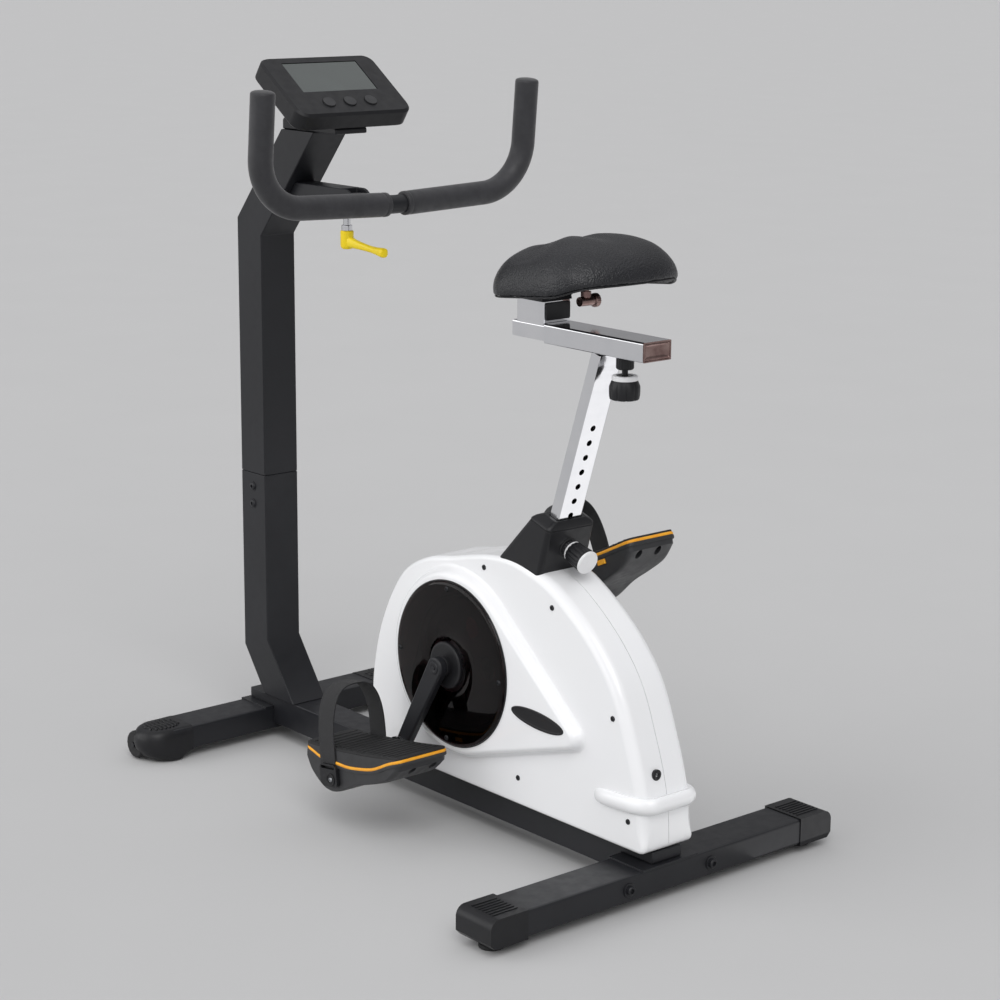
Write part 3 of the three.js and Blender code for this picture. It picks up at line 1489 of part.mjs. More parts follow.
function saddleClamp() {
  const cheek = new THREE.Shape();
  cheek.moveTo(uprightFrontX, uprightTopZ + gap);
  cheek.lineTo(uprightRearX, uprightTopZ + gap);
  cheek.absarc(clampBoltX, clampBoltZ, clampEye, 0, Math.PI / 2, false);
  cheek.lineTo(uprightFrontX, clampBoltZ - clampEye);
  const body = sideExtrude(cheek, -clampHalf, clampHalf, 8);
  const reach = clampHalf + earThickness + clampBoltProud;
  const bolt = disc(clampBoltRadius, -reach, reach, smallSides).translate(clampBoltX, 0, clampBoltZ);
  return piece('saddle_clamp', join(body, bolt), steelBlack);
}

// The saddle's half width at a share of its length from nose to rear
function saddleHalfWidth(share) {
  const spread = THREE.MathUtils.smoothstep(share, -0.05, 0.42);
  const ends = Math.sqrt(1 - Math.abs(2 * share - 1) ** saddleSquareness);
  return (saddleNoseHalf + (saddleHalf - saddleNoseHalf) * spread) * ends;
}

// A ring round the saddle, drawn in by a scale
function saddleRing(scale) {
  const middle = (saddleFrontX + saddleRearX) / 2 - clampBoltX;
  const half = (saddleRearX - saddleFrontX) / 2;
  const points = [];
  for (let i = 0; i < saddleSides; i += 1) {
    const angle = (i / saddleSides) * Math.PI * 2;
    const share = (1 - Math.cos(angle)) / 2;
    const side = Math.sin(angle) >= 0 ? 1 : -1;
    points.push([
      middle + half * (2 * share - 1) * scale,
      side * saddleHalfWidth(share) * scale,
      share,
    ]);
  }
  return points;
}

// The cover's skirt hangs lowest at the flanks, less at the rear and the nose
function skirtHang(share) {
  const rear = 1 - (1 - skirtRearShare) * THREE.MathUtils.smoothstep(share, 0.72, 0.95);
  const nose = skirtNoseShare + (1 - skirtNoseShare) * THREE.MathUtils.smoothstep(share, 0, 0.2);
  return skirtDrop * rear * nose;
}

// The cushion's rings, as shares: the height, the drawn-in width and how much of the skirt's drop it takes
const cushionShares = [
  [0, 0.87, 0], [0, 0.905, 1], [0.02, 0.975, 1], [0.06, 1, 0.92], [0.2, 0.965, 0.45],
  [0.5, 0.86, 0.1], [0.76, 0.73, 0], [0.94, 0.52, 0], [1.01, 0.24, 0],
];

function saddleCushion() {
  const base = panLift + panDepth + gap;
  const positions = [];
  cushionShares.forEach(([up, scale, hang]) => {
    saddleRing(scale).forEach(([x, y, share]) => {
      const rise = saddleRearRise * THREE.MathUtils.smoothstep(share, 0.3, 0.95);
      const channel = up > 0.9 ? saddleChannel * Math.exp(-((y / saddleNoseHalf) ** 2) * 4) : 0;
      positions.push(x, y, base + up * (saddleThickness + rise) - channel - hang * skirtHang(share));
    });
  });
  const middle = (saddleFrontX + saddleRearX) / 2 - clampBoltX;
  positions.push(middle, 0, base);
  positions.push(middle, 0, base + saddleThickness + saddleRearRise / 2 - saddleChannel);
  const faces = [];
  const lowest = cushionShares.length * saddleSides;
  for (let i = 0; i < saddleSides; i += 1) {
    const next = (i + 1) % saddleSides;
    faces.push(lowest, i, next);
    const top = lowest - saddleSides;
    faces.push(lowest + 1, top + next, top + i);
    for (let level = 0; level < cushionShares.length - 1; level += 1) {
      const a = level * saddleSides;
      const b = a + saddleSides;
      faces.push(a + i, b + i, b + next, a + i, b + next, a + next);
    }
  }
  const geometry = new THREE.BufferGeometry();
  geometry.setAttribute('position', new THREE.BufferAttribute(new Float32Array(positions), 3));
  geometry.setIndex(faces);
  geometry.computeVertexNormals();
  return piece('saddle', geometry, vinyl);
}

function saddlePan() {
  const outline = polygon(saddleRing(0.84).map(([x, y]) => [x, y]));
  const shell = heightExtrude(outline, panLift, panLift + panDepth);
  const ears = [-1, 1].map((side) => {
    const from = side * (clampHalf + runningGap);
    const to = side * (clampHalf + earThickness);
    const ear = new THREE.Shape();
    ear.absarc(0, 0, earEye, Math.PI, Math.PI * 2, false);
    ear.lineTo(earEye * 2.4, panLift + panDepth / 2);
    ear.lineTo(-earEye * 2, panLift + panDepth / 2);
    const plate = sideExtrude(ear, Math.min(from, to), Math.max(from, to), 10);
    const boltRoom = boreAround(clampBoltRadius, gap, smallSides);
    return cut(plate, disc(boltRoom, -clampHalf * 2, clampHalf * 2, smallSides));
  });
  return piece('saddle_pan', join(shell, ...ears), plasticBlack);
}

function saddleGroup() {
  const group = groupOf(saddlePan(), saddleCushion());
  group.position.set(clampBoltX, 0, clampBoltZ);
  group.rotation.y = saddleTilt;
  return group;
}

function railKnob() {
  const seat = railBarrelLength + gap * 2;
  const end = seat + railKnobLength;
  const core = turned([
    [0, runningGap], [pinRadius, runningGap], [pinRadius, seat], [railKnobRadius * 0.7, seat],
    [railKnobRadius, seat + railKnobEdge], [railKnobRadius, end - railKnobEdge],
    [railKnobRadius * 0.72, end], [0, end],
  ], roundSides);
  const ribs = knobRibsAround(railKnobRadius, seat + railKnobEdge, end - railKnobEdge);
  const knob = join(core, ...ribs).rotateX(-Math.PI / 2);
  return piece('rail_knob', knob.translate(railKnobX, 0, railTopZ - railHeight), plasticBlack);
}

function wholeErgometer() {
  const housingPieces = housings();
  const group = groupOf(
    ...stabilisers(),
    ...baseRail(),
    ...[-1, 1].flatMap((side) => [frontCap(side), transportWheel(side), rearCap(side), levelFoot(side)]),
    ...mastPieces(),
    stemBracket(),
    clampStud(),
    clampLever(),
    handlebar(),
    grip(-1),
    grip(1),
    consoleBracket(),
    consoleGroup(),
    ...housingPieces,
    windowCover(-1),
    windowCover(1),
    powerInlet(),
    innerFrame(),
    crankGroup(),
    driveBelt(),
    idlerArm(),
    idlerWheel(),
    flywheel(),
    brakeMagnet(),
    shroudPiece(),
    seatFrameGroup(),
    saddleRail(),
    railPlug(),
    saddleSlider(),
    railKnobBarrel(),
    railKnob(),
    saddleClamp(),
    saddleGroup(),
  );
  return group;
}

// The finished object stands on the floor with its origin under the middle of its length
const frontEndX = frontStabiliserX - wheelForward - wheelRadius;
const rearEndX = lipRearX;
const ergometer = wholeErgometer();
ergometer.position.x = -(frontEndX + rearEndX) / 2;

export default ergometer;
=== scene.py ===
import math

import bmesh
import bpy
import numpy as np
from mathutils import Matrix, Vector
from mathutils.geometry import tessellate_polygon


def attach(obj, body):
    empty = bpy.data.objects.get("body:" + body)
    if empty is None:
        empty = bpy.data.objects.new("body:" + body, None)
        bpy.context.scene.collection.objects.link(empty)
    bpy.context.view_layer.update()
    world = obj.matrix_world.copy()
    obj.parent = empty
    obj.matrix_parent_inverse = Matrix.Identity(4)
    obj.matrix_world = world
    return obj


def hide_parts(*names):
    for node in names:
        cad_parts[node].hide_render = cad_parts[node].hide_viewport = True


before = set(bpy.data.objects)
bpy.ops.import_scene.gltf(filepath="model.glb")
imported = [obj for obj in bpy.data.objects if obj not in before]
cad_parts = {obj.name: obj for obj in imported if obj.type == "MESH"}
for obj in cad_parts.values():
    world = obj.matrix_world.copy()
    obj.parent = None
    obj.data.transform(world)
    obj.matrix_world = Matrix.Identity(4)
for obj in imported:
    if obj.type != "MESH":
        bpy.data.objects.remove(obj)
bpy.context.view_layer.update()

# Places along the bike are in millimetres from the crank axle, as in the part's source
MM = 0.001
SHIFT = 95.0
CRANK_Z = 277.0
WELD = 0.02
AROUND = 48
FINE_AROUND = 96
LEFT, RIGHT = -1, 1
SIDES = {LEFT: "left", RIGHT: "right"}
POST_LEAN = math.radians(18.4)
POST_X = 199.0 - 10.0 * math.cos(POST_LEAN)
POST_Z = 546.0 + 10.0 * math.sin(POST_LEAN)


# Forms

class Form:
    """Points in millimetres and the faces between them."""

    def __init__(self):
        self.points = []
        self.faces = []

    def loft(self, rings, wrap=True, caps=False, skip=None):
        start = len(self.points)
        count = len(rings[0])
        for ring in rings:
            self.points.extend(Vector(point) for point in ring)
        for level in range(len(rings) - 1):
            for i in range(count if wrap else count - 1):
                if skip and skip(level, i):
                    continue
                a = start + level * count
                j = (i + 1) % count
                self.faces.append((a + i, a + j, a + count + j, a + count + i))
        if caps:
            last = start + (len(rings) - 1) * count
            self.faces.append(tuple(start + i for i in reversed(range(count))))
            self.faces.append(tuple(last + i for i in range(count)))
        return self

    def fill(self, loops):
        start = len(self.points)
        loops = [[Vector(point) for point in loop] for loop in loops]
        self.points.extend(point for loop in loops for point in loop)
        self.faces.extend(tuple(start + i for i in face) for face in tessellate_polygon(loops))
        return self

    def add(self, other):
        start = len(self.points)
        self.points.extend(other.points)
        self.faces.extend(tuple(start + i for i in face) for face in other.faces)
        return self

    def moved(self, matrix):
        self.points = [matrix @ point for point in self.points]
        return self

    def sided(self, side):
        """Made on the left, and turned over for the right."""
        if side == RIGHT:
            self.points = [Vector((p.x, -p.y, p.z)) for p in self.points]
            self.faces = [tuple(reversed(face)) for face in self.faces]
        return self


def make_mesh(name, form):
    mesh = bpy.data.meshes.new(name)
    mesh.from_pydata([tuple(p) for p in form.points], [], form.faces)
    work = bmesh.new()
    work.from_mesh(mesh)
    bmesh.ops.remove_doubles(work, verts=work.verts, dist=WELD)
    bmesh.ops.dissolve_degenerate(work, edges=work.edges, dist=WELD / 2)
    bmesh.ops.recalc_face_normals(work, faces=work.faces)
    work.to_mesh(mesh)
    work.free()
    mesh.transform(Matrix.Scale(MM, 4) @ Matrix.Translation((SHIFT, 0, 0)))
    mesh.validate()
    return mesh


def shade(mesh, degrees):
    mesh.polygons.foreach_set("use_smooth", [True] * len(mesh.polygons))
    mesh.set_sharp_from_angle(angle=math.radians(degrees))


def round_off(piece, width, segments=3, degrees=38):
    bevel = piece.modifiers.new("edges", "BEVEL")
    bevel.width = width * MM
    bevel.segments = segments
    bevel.limit_method = "ANGLE"
    bevel.angle_limit = math.radians(degrees)
    bevel.use_clamp_overlap = True


def even_normals(piece):
    weighted = piece.modifiers.new("normals", "WEIGHTED_NORMAL")
    weighted.keep_sharp = True


def add_mesh(name, mesh, body, slot, look, stands_for=(), edge=0.0, smooth=38, even=True):
    shade(mesh, smooth)
    mesh.materials.append(look)
    piece = bpy.data.objects.new(name, mesh)
    bpy.context.scene.collection.objects.link(piece)
    if edge:
        round_off(piece, edge, degrees=smooth)
    if even:
        even_normals(piece)
    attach(piece, body)
    if stands_for:
        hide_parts(*stands_for)
    return piece


# Outlines and turned forms

def catmull(points, steps):
    """The same smooth curve through points as the part's source draws."""
    points = [np.array(p, float) for p in points]
    last = len(points) - 1
    curve = []
    for i in range(last):
        p0, p1, p2, p3 = points[max(i - 1, 0)], points[i], points[i + 1], points[min(i + 2, last)]
        v0, v1 = (p2 - p0) / 2, (p3 - p1) / 2
        for step in range(steps):
            t = step / steps
            bend = (2 * p1 - 2 * p2 + v0 + v1) * t**3
            curve.append(bend + (3 * p2 - 3 * p1 - 2 * v0 - v1) * t**2 + v0 * t + p1)
    curve.append(points[last])
    return curve


def evened(points, count, closed=True):
    """Points moved along their own line to even distances."""
    points = np.array(points, float)
    loop = np.vstack([points, points[:1]]) if closed else points
    runs = np.concatenate([[0.0], np.cumsum(np.linalg.norm(np.diff(loop, axis=0), axis=1))])
    places = np.linspace(0.0, runs[-1], count, endpoint=not closed)
    return np.stack([np.interp(places, runs, loop[:, k]) for k in range(loop.shape[1])], axis=1)


def rounded_box(a0, a1, b0, b1, radius, steps=6):
    """A rectangle with round corners, anticlockwise."""
    corners = ((a1 - radius, b0 + radius, -1), (a1 - radius, b1 - radius, 0),
               (a0 + radius, b1 - radius, 1), (a0 + radius, b0 + radius, 2))
    points = []
    for a, b, quarter in corners:
        for i in range(steps + 1):
            angle = (quarter + i / steps) * math.pi / 2
            points.append((a + radius * math.cos(angle), b + radius * math.sin(angle)))
    return points


def arc(a, b, radius, start, end, steps):
    angles = [start + (end - start) * i / steps for i in range(steps + 1)]
    return [(a + radius * math.cos(angle), b + radius * math.sin(angle)) for angle in angles]


def prism(outline, low, high):
    """A profile in x and y, drawn out along z."""
    return Form().loft([[(a, b, z) for a, b in outline] for z in (low, high)], caps=True)


def side_prism(outline, y0, y1):
    """A profile in x and z, drawn out along y."""
    return Form().loft([[(a, y, b) for a, b in outline] for y in (y0, y1)], caps=True)


def tube(outer, inner, low, high):
    rings = [[(a, b, z) for a, b in line] for line, z in (
        (outer, low), (outer, high), (inner, high), (inner, low), (outer, low))]
    return Form().loft(rings)


def turned(profile, sides=AROUND, wave=0.0, waves=0, waved=()):
    """A profile of radius and height, turned about z, with ribs where waved names its points."""
    rings = []
    for k, (radius, height) in enumerate(profile):
        ring = []
        for i in range(sides):
            angle = 2 * math.pi * i / sides
            rib = wave * abs(math.cos(angle * waves / 2)) ** 0.5 if k in waved else 0.0
            reach = radius + rib
            ring.append((reach * math.cos(angle), reach * math.sin(angle), height))
        rings.append(ring)
    return Form().loft(rings)


def about(origin, axis):
    """The place whose z points along an axis."""
    turn = Vector((0, 0, 1)).rotation_difference(Vector(axis)).to_matrix().to_4x4()
    return Matrix.Translation(origin) @ turn


def leaned(x, z, angle):
    """A frame turned about the bike's cross axis."""
    return Matrix.Translation((x, 0, z)) @ Matrix.Rotation(angle, 4, "Y")


POST = leaned(POST_X, POST_Z, POST_LEAN)
OUT_LEFT = (0, -1, 0)
OUT_REAR = (1, 0, 0)
DOWN = (0, 0, -1)


def swept(path, tangents, radii, sides):
    """Round sections along a path in the plane of y and z."""
    rings = []
    for point, tangent, reach in zip(path, tangents, radii):
        across = Vector((1, 0, 0))
        up = Vector(tangent).normalized().cross(across)
        ring = []
        for i in range(sides):
            angle = 2 * math.pi * i / sides
            ring.append(Vector(point) + across * reach * math.cos(angle) + up * reach * math.sin(angle))
        rings.append(ring)
    return rings


# Materials

class Look:
    """A shader built up from its plain values and layers of fine detail in object space."""

    def __init__(self, name, colour, roughness, metallic=0.0):
        self.material = bpy.data.materials.new(name)
        self.material.use_nodes = True
        self.tree = self.material.node_tree
        self.shader = self.tree.nodes["Principled BSDF"]
        self.colour = colour
        self.set("Base Color", (*colour, 1.0))
        self.set("Roughness", roughness)
        self.set("Metallic", metallic)
        self.places = self.tree.nodes.new("ShaderNodeTexCoord").outputs["Object"]

    def set(self, socket, value):
        self.shader.inputs[socket].default_value = value
        return self

    def node(self, kind, **values):
        node = self.tree.nodes.new(kind)
        for key, value in values.items():
            setattr(node, key, value)
        return node

    def link(self, output, node, socket):
        self.tree.links.new(output, node.inputs[socket])

    def noise(self, scale, detail=3.0, stretch=None):
        node = self.node("ShaderNodeTexNoise")
        node.inputs["Scale"].default_value = scale
        node.inputs["Detail"].default_value = detail
        self.link(self.stretched(stretch), node, "Vector")
        return node.outputs["Fac"]

    def cells(self, scale, feature="F1"):
        node = self.node("ShaderNodeTexVoronoi", feature=feature)
        node.inputs["Scale"].default_value = scale
        self.link(self.places, node, "Vector")
        return node.outputs["Distance"]

    def stretched(self, stretch):
        if stretch is None:
            return self.places
        node = self.node("ShaderNodeMapping")
        node.inputs["Scale"].default_value = stretch
        self.link(self.places, node, "Vector")
        return node.outputs["Vector"]

    def spread(self, value, low, high, start=0.35, end=0.65):
        node = self.node("ShaderNodeMapRange")
        node.inputs["From Min"].default_value = start
        node.inputs["From Max"].default_value = end
        node.inputs["To Min"].default_value = low
        node.inputs["To Max"].default_value = high
        self.link(value, node, "Value")
        return node.outputs["Result"]

    def rough_between(self, value, low, high):
        self.link(self.spread(value, low, high), self.shader, "Roughness")
        return self

    def mottled(self, value, other, start=0.35, end=0.65):
        mix = self.node("ShaderNodeMix", data_type="RGBA")
        mix.inputs["A"].default_value = (*self.colour, 1.0)
        mix.inputs["B"].default_value = (*other, 1.0)
        self.link(self.spread(value, 0.0, 1.0, start, end), mix, "Factor")
        self.link(mix.outputs["Result"], self.shader, "Base Color")
        return self

    def bumped(self, value, strength, depth):
        bump = self.node("ShaderNodeBump")
        bump.inputs["Strength"].default_value = strength
        bump.inputs["Distance"].default_value = depth * MM
        self.link(value, bump, "Height")
        linked = self.shader.inputs["Normal"].links
        if linked:
            self.link(linked[0].from_socket, bump, "Normal")
        self.link(bump.outputs["Normal"], self.shader, "Normal")
        return self


def painted_steel():
    look = Look("black_steel", (0.012, 0.0125, 0.015), 0.38)
    look.set("Specular IOR Level", 0.36)
    look.rough_between(look.noise(55), 0.33, 0.43)
    look.mottled(look.noise(9), (0.0145, 0.015, 0.018))
    return look.bumped(look.noise(1400, 2), 0.25, 0.05).material


def black_plastic():
    look = Look("black_plastic", (0.0085, 0.0087, 0.0105), 0.42)
    look.set("Specular IOR Level", 0.36)
    look.rough_between(look.noise(70), 0.36, 0.48)
    look.mottled(look.noise(24), (0.0095, 0.0095, 0.011))
    return look.bumped(look.noise(1900, 2), 0.3, 0.05).material


def grey_plastic():
    look = Look("grey_plastic", (0.024, 0.0245, 0.0265), 0.48)
    look.rough_between(look.noise(60), 0.42, 0.56)
    look.mottled(look.noise(20), (0.030, 0.0305, 0.033))
    return look.bumped(look.cells(1500), 0.35, 0.06).material


def white_shell():
    look = Look("white_shell", (0.90, 0.905, 0.92), 0.2)
    look.set("Coat Weight", 0.25).set("Coat Roughness", 0.08)
    look.rough_between(look.noise(30), 0.17, 0.26)
    look.mottled(look.noise(6), (0.91, 0.915, 0.925))
    return look.bumped(look.noise(18, 2), 0.08, 0.25).material


def smoked_window():
    look = Look("smoked_window", (0.085, 0.034, 0.036), 0.03)
    look.set("Transmission Weight", 1.0).set("IOR", 1.3)
    look.set("Specular Tint", (1.0, 1.0, 1.0, 1.0))
    look.mottled(look.noise(5), (0.07, 0.028, 0.032))
    return look.bumped(look.noise(7, 1), 0.05, 0.3).material


def chrome():
    look = Look("chrome", (0.80, 0.80, 0.82), 0.09, 1.0)
    look.rough_between(look.noise(26, 3, (1, 1, 6)), 0.07, 0.14)
    look.mottled(look.noise(14), (0.74, 0.745, 0.77))
    return look.bumped(look.noise(300, 2), 0.04, 0.03).material


# Chrome whose warm brown base colour is a painted reflection: it stands in for warm surroundings mirrored in
# the metal, not a tint of the metal itself.
def chrome_with_painted_warm_reflection():
    look = Look("rail_end", (0.34, 0.24, 0.22), 0.24, 1.0)
    look.mottled(look.noise(60), (0.22, 0.14, 0.13))
    return look.bumped(look.noise(500, 2), 0.1, 0.04).material


def zinc():
    look = Look("steel", (0.42, 0.43, 0.45), 0.3, 1.0)
    look.rough_between(look.noise(90), 0.24, 0.38)
    look.mottled(look.noise(40), (0.34, 0.35, 0.36))
    return look.bumped(look.noise(900, 2), 0.15, 0.04).material


def cast_iron():
    look = Look("cast_iron", (0.15, 0.15, 0.16), 0.5, 0.7)
    look.mottled(look.noise(50), (0.10, 0.10, 0.11))
    return look.bumped(look.noise(400, 4), 0.4, 0.2).material


def rubber():
    look = Look("rubber", (0.012, 0.012, 0.013), 0.75)
    look.mottled(look.noise(60), (0.016, 0.016, 0.017))
    return look.bumped(look.noise(1100, 3), 0.4, 0.1).material


def foam():
    look = Look("foam", (0.020, 0.020, 0.023), 0.55)
    look.set("Sheen Weight", 0.25).set("Sheen Roughness", 0.45)
    look.rough_between(look.noise(80), 0.48, 0.66)
    look.mottled(look.noise(30), (0.026, 0.026, 0.030))
    look.bumped(look.cells(900), 0.35, 0.12)
    return look.bumped(look.noise(60, 2), 0.2, 0.3).material


def vinyl():
    look = Look("vinyl", (0.0075, 0.008, 0.0105), 0.33)
    look.rough_between(look.cells(430), 0.27, 0.42)
    look.mottled(look.noise(20), (0.0105, 0.011, 0.014))
    look.bumped(look.cells(430, "SMOOTH_F1"), 1.0, 0.9)
    return look.bumped(look.noise(900, 3), 0.35, 0.15).material


def yellow_plastic():
    look = Look("yellow_plastic", (0.93, 0.68, 0.0), 0.34)
    look.rough_between(look.noise(90), 0.28, 0.42)
    look.mottled(look.noise(30), (0.96, 0.74, 0.01))
    return look.bumped(look.noise(700, 2), 0.12, 0.05).material


def orange_trim():
    look = Look("orange_trim", (0.90, 0.36, 0.01), 0.42)
    look.mottled(look.noise(60), (0.94, 0.44, 0.02))
    return look.bumped(look.noise(900, 2), 0.2, 0.05).material


def white_cap():
    look = Look("white_cap", (0.78, 0.78, 0.79), 0.3)
    look.mottled(look.noise(45), (0.83, 0.83, 0.84))
    return look.bumped(look.noise(600, 2), 0.15, 0.05).material


def display():
    look = Look("display", (0.045, 0.055, 0.052), 0.08)
    look.set("Coat Weight", 0.5)
    look.mottled(look.noise(12), (0.05, 0.062, 0.058))
    return look.bumped(look.noise(900, 1), 0.03, 0.02).material


def webbing():
    """Ribbed weave from the strap's own map: u across it and v along it, both in millimetres."""
    look = Look("webbing", (0.011, 0.011, 0.0125), 0.8)
    look.set("Sheen Weight", 0.08).set("Sheen Roughness", 0.5)
    along = look.node("ShaderNodeUVMap", uv_map="weave").outputs["UV"]
    for direction, scale, depth in (("X", 0.34, 0.5), ("Y", 0.26, 0.35)):
        wave = look.node("ShaderNodeTexWave", bands_direction=direction)
        wave.inputs["Scale"].default_value = scale
        wave.inputs["Distortion"].default_value = 0.6
        look.link(along, wave, "Vector")
        look.bumped(wave.outputs["Fac"], 0.7, depth)
        if direction == "Y":
            look.mottled(wave.outputs["Fac"], (0.019, 0.019, 0.021), 0.2, 0.8)
    return look.material


LOOKS = {
    "black_steel": painted_steel(), "black_plastic": black_plastic(), "grey_plastic": grey_plastic(),
    "white_shell": white_shell(), "smoked_window": smoked_window(), "chrome": chrome(), "steel": zinc(),
    "cast_iron": cast_iron(), "rubber": rubber(), "foam": foam(), "vinyl": vinyl(),
    "yellow_plastic": yellow_plastic(), "webbing": webbing(), "display": display(),
    "orange_trim": orange_trim(), "white_cap": white_cap(), "rail_end": chrome_with_painted_warm_reflection(),
}


def piece(name, form, body, slot, look=None, **more):
    return add_mesh(name, make_mesh(name, form), body, slot, LOOKS[look or slot], **more)


# Housing: the same outline as the source, with softer edges, a raised panel and a lip

FOOT_Z = 77.6
HOUSING_X = (-232.0, 428.0)
HOUSING_HEIGHT = 391.0
HOUSING_HALF = 52.0
PANEL_HALF = 70.0
HOUSING_SHARES = [
    (0.035, 0), (0, 0.2), (0.012, 0.42), (0.055, 0.63), (0.125, 0.81), (0.215, 0.9), (0.315, 0.94),
    (0.43, 0.985), (0.535, 1), (0.63, 0.975), (0.69, 0.937), (0.77, 0.85), (0.845, 0.74),
    (0.905, 0.608), (0.95, 0.43), (0.98, 0.28), (0.995, 0.15), (1, 0),
]
OUTLINE_COUNT = 300
PANEL_STEPS = (72, 18)
FOOT_CORNER = 14.0
EDGE_FRONT, EDGE_REAR, EDGE_FOOT = 8.0, 17.0, 6.0
EDGE_BLEND = (70.0, 230.0)
EDGE_STEPS = 10
FLOOR_REACH = 0.1
SEAM = 0.03
SEAM_CHAMFER = 0.6
SHELL_WALL = 3.0
PANEL_RADIUS, PANEL_CORNER = 149.0, (272.0, 223.0, 17.0)
PANEL_SLOPE = [
    (9, 0), (6.2, 0.8), (3.8, 2.8), (1.8, 6.2), (0.4, 10.2), (-1.6, 13.8), (-4.4, 16.6), (-8.5, 18),
]
WINDOW_EDGE = [(0, 0), (1.5, 0.6), (2, 3)]
WINDOW_HOLE = 130.0
WINDOW_RADIUS = 134.0


def smoothstep(value, low, high):
    t = min(max((value - low) / (high - low), 0.0), 1.0)
    return t * t * (3 - 2 * t)


def housing_outline():
    length = HOUSING_X[1] - HOUSING_X[0]
    knots = [(HOUSING_X[0] + a * length, FOOT_Z + b * HOUSING_HEIGHT) for a, b in HOUSING_SHARES]
    curve = [p for p in catmull(knots, 12) if p[1] > FOOT_Z + FOOT_CORNER]
    corners = []
    for start, foot, inward in ((curve[-1], knots[-1], -1), (curve[0], knots[0], 1)):
        on_floor = np.array((foot[0] + inward * FOOT_CORNER, FOOT_Z))
        knee = np.array((foot[0], FOOT_Z))
        bend = [(1 - t) ** 2 * start + 2 * t * (1 - t) * knee + t * t * on_floor
                for t in np.linspace(0, 1, 9)[1:]]
        corners.append(bend)
    return evened([*curve, *corners[0], *reversed(corners[1])], OUTLINE_COUNT)


def inward_normals(points):
    ahead = np.roll(points, -1, axis=0) - np.roll(points, 1, axis=0)
    ahead /= np.linalg.norm(ahead, axis=1)[:, None]
    return np.stack([ahead[:, 1], -ahead[:, 0]], axis=1)


def panel_loop(inset):
    big, small = PANEL_RADIUS - inset, PANEL_CORNER[2] - inset
    across, down = PANEL_CORNER[0], PANEL_CORNER[1] - CRANK_Z
    heading = math.atan2(down, across)
    opening = math.acos((big - small) / math.hypot(across, down))
    round_crank = arc(0, CRANK_Z, big, heading + opening, heading - opening + 2 * math.pi, PANEL_STEPS[0])
    round_corner = arc(*PANEL_CORNER[:2], small, heading - opening, heading + opening, PANEL_STEPS[1])
    return round_crank + round_corner


def housing_form():
    outline = housing_outline()
    normals = inward_normals(outline)
    radii = []
    for x, z in outline:
        radius = EDGE_FRONT + (EDGE_REAR - EDGE_FRONT) * smoothstep(x, *EDGE_BLEND)
        radii.append(EDGE_FOOT + (radius - EDGE_FOOT) * smoothstep(z, FOOT_Z, FOOT_Z + FOOT_CORNER * 3))
    radii = np.array(radii)

    def ring(inset, y):
        return [(x, v, z) for (x, z), v in zip(outline + normals * inset[:, None], y)]

    still = np.zeros(len(outline))
    rings = [
        ring(still + SEAM_CHAMFER, still - SEAM),
        ring(still, still - SEAM - SEAM_CHAMFER),
    ]
    for k in range(EDGE_STEPS + 1):
        turn = math.pi / 2 * k / EDGE_STEPS
        rings.append(ring(radii * (1 - math.cos(turn)), -(HOUSING_HALF - radii + radii * math.sin(turn))))
    on_floor = [z < FOOT_Z + FLOOR_REACH for _, z in outline]
    form = Form().loft(rings, skip=lambda level, i: level < 2 and on_floor[i])
    base = [(x, -HOUSING_HALF, z) for x, z in panel_loop(-PANEL_SLOPE[0][0])]
    form.fill([rings[-1], base])
    slope = []
    for outset, out in PANEL_SLOPE:
        slope.append([(x, -HOUSING_HALF - out, z) for x, z in panel_loop(-outset)])
    form.loft(slope)
    holes = []
    for inset, deep in WINDOW_EDGE:
        edge = arc(0, CRANK_Z, WINDOW_HOLE - inset, 0, 2 * math.pi, FINE_AROUND)[:-1]
        holes.append([(x, deep - PANEL_HALF, z) for x, z in edge])
    form.fill([slope[-1], holes[0]])
    return form.loft(holes)


LIP_X = (316.0, 441.0)
LIP_Z = (146.0, 172.0)
LIP_HALF = 62.0
LIP_DEEP = 24.0
LIP_SIDE_END = 392.0
LIP_CORNER = 34.0
LIP_SUNK = 3.0
LIP_FALL, LIP_DROP = 8.5, 5.0
LIP_NOSE, LIP_TUCK, LIP_SHOULDER = 9.5, 5.0, (11.0, 1.5)


def lip_path():
    """The lip's edge in plan, from its blunt end on the side round to the middle of the rear."""
    path = []
    for u in np.linspace(0, 1, 25):
        x = LIP_X[0] + (LIP_SIDE_END - LIP_X[0]) * u
        proud = (LIP_HALF - HOUSING_HALF + LIP_SUNK) * (1 - (1 - u) ** 3) ** 0.55
        path.append((x, -HOUSING_HALF + LIP_SUNK - proud))
    for t in np.linspace(0, 1, 17)[1:]:
        turn = t * math.pi / 2
        path.append((LIP_SIDE_END + (LIP_X[1] - LIP_SIDE_END) * math.sin(turn) ** 0.9,
                     -LIP_HALF + LIP_CORNER * (1 - math.cos(turn) ** 0.9)))
    flat = LIP_HALF - LIP_CORNER
    for t in np.linspace(0, 1, 6)[1:]:
        path.append((LIP_X[1], -flat + (flat - SEAM) * t))
    return evened(path, 60, closed=False)


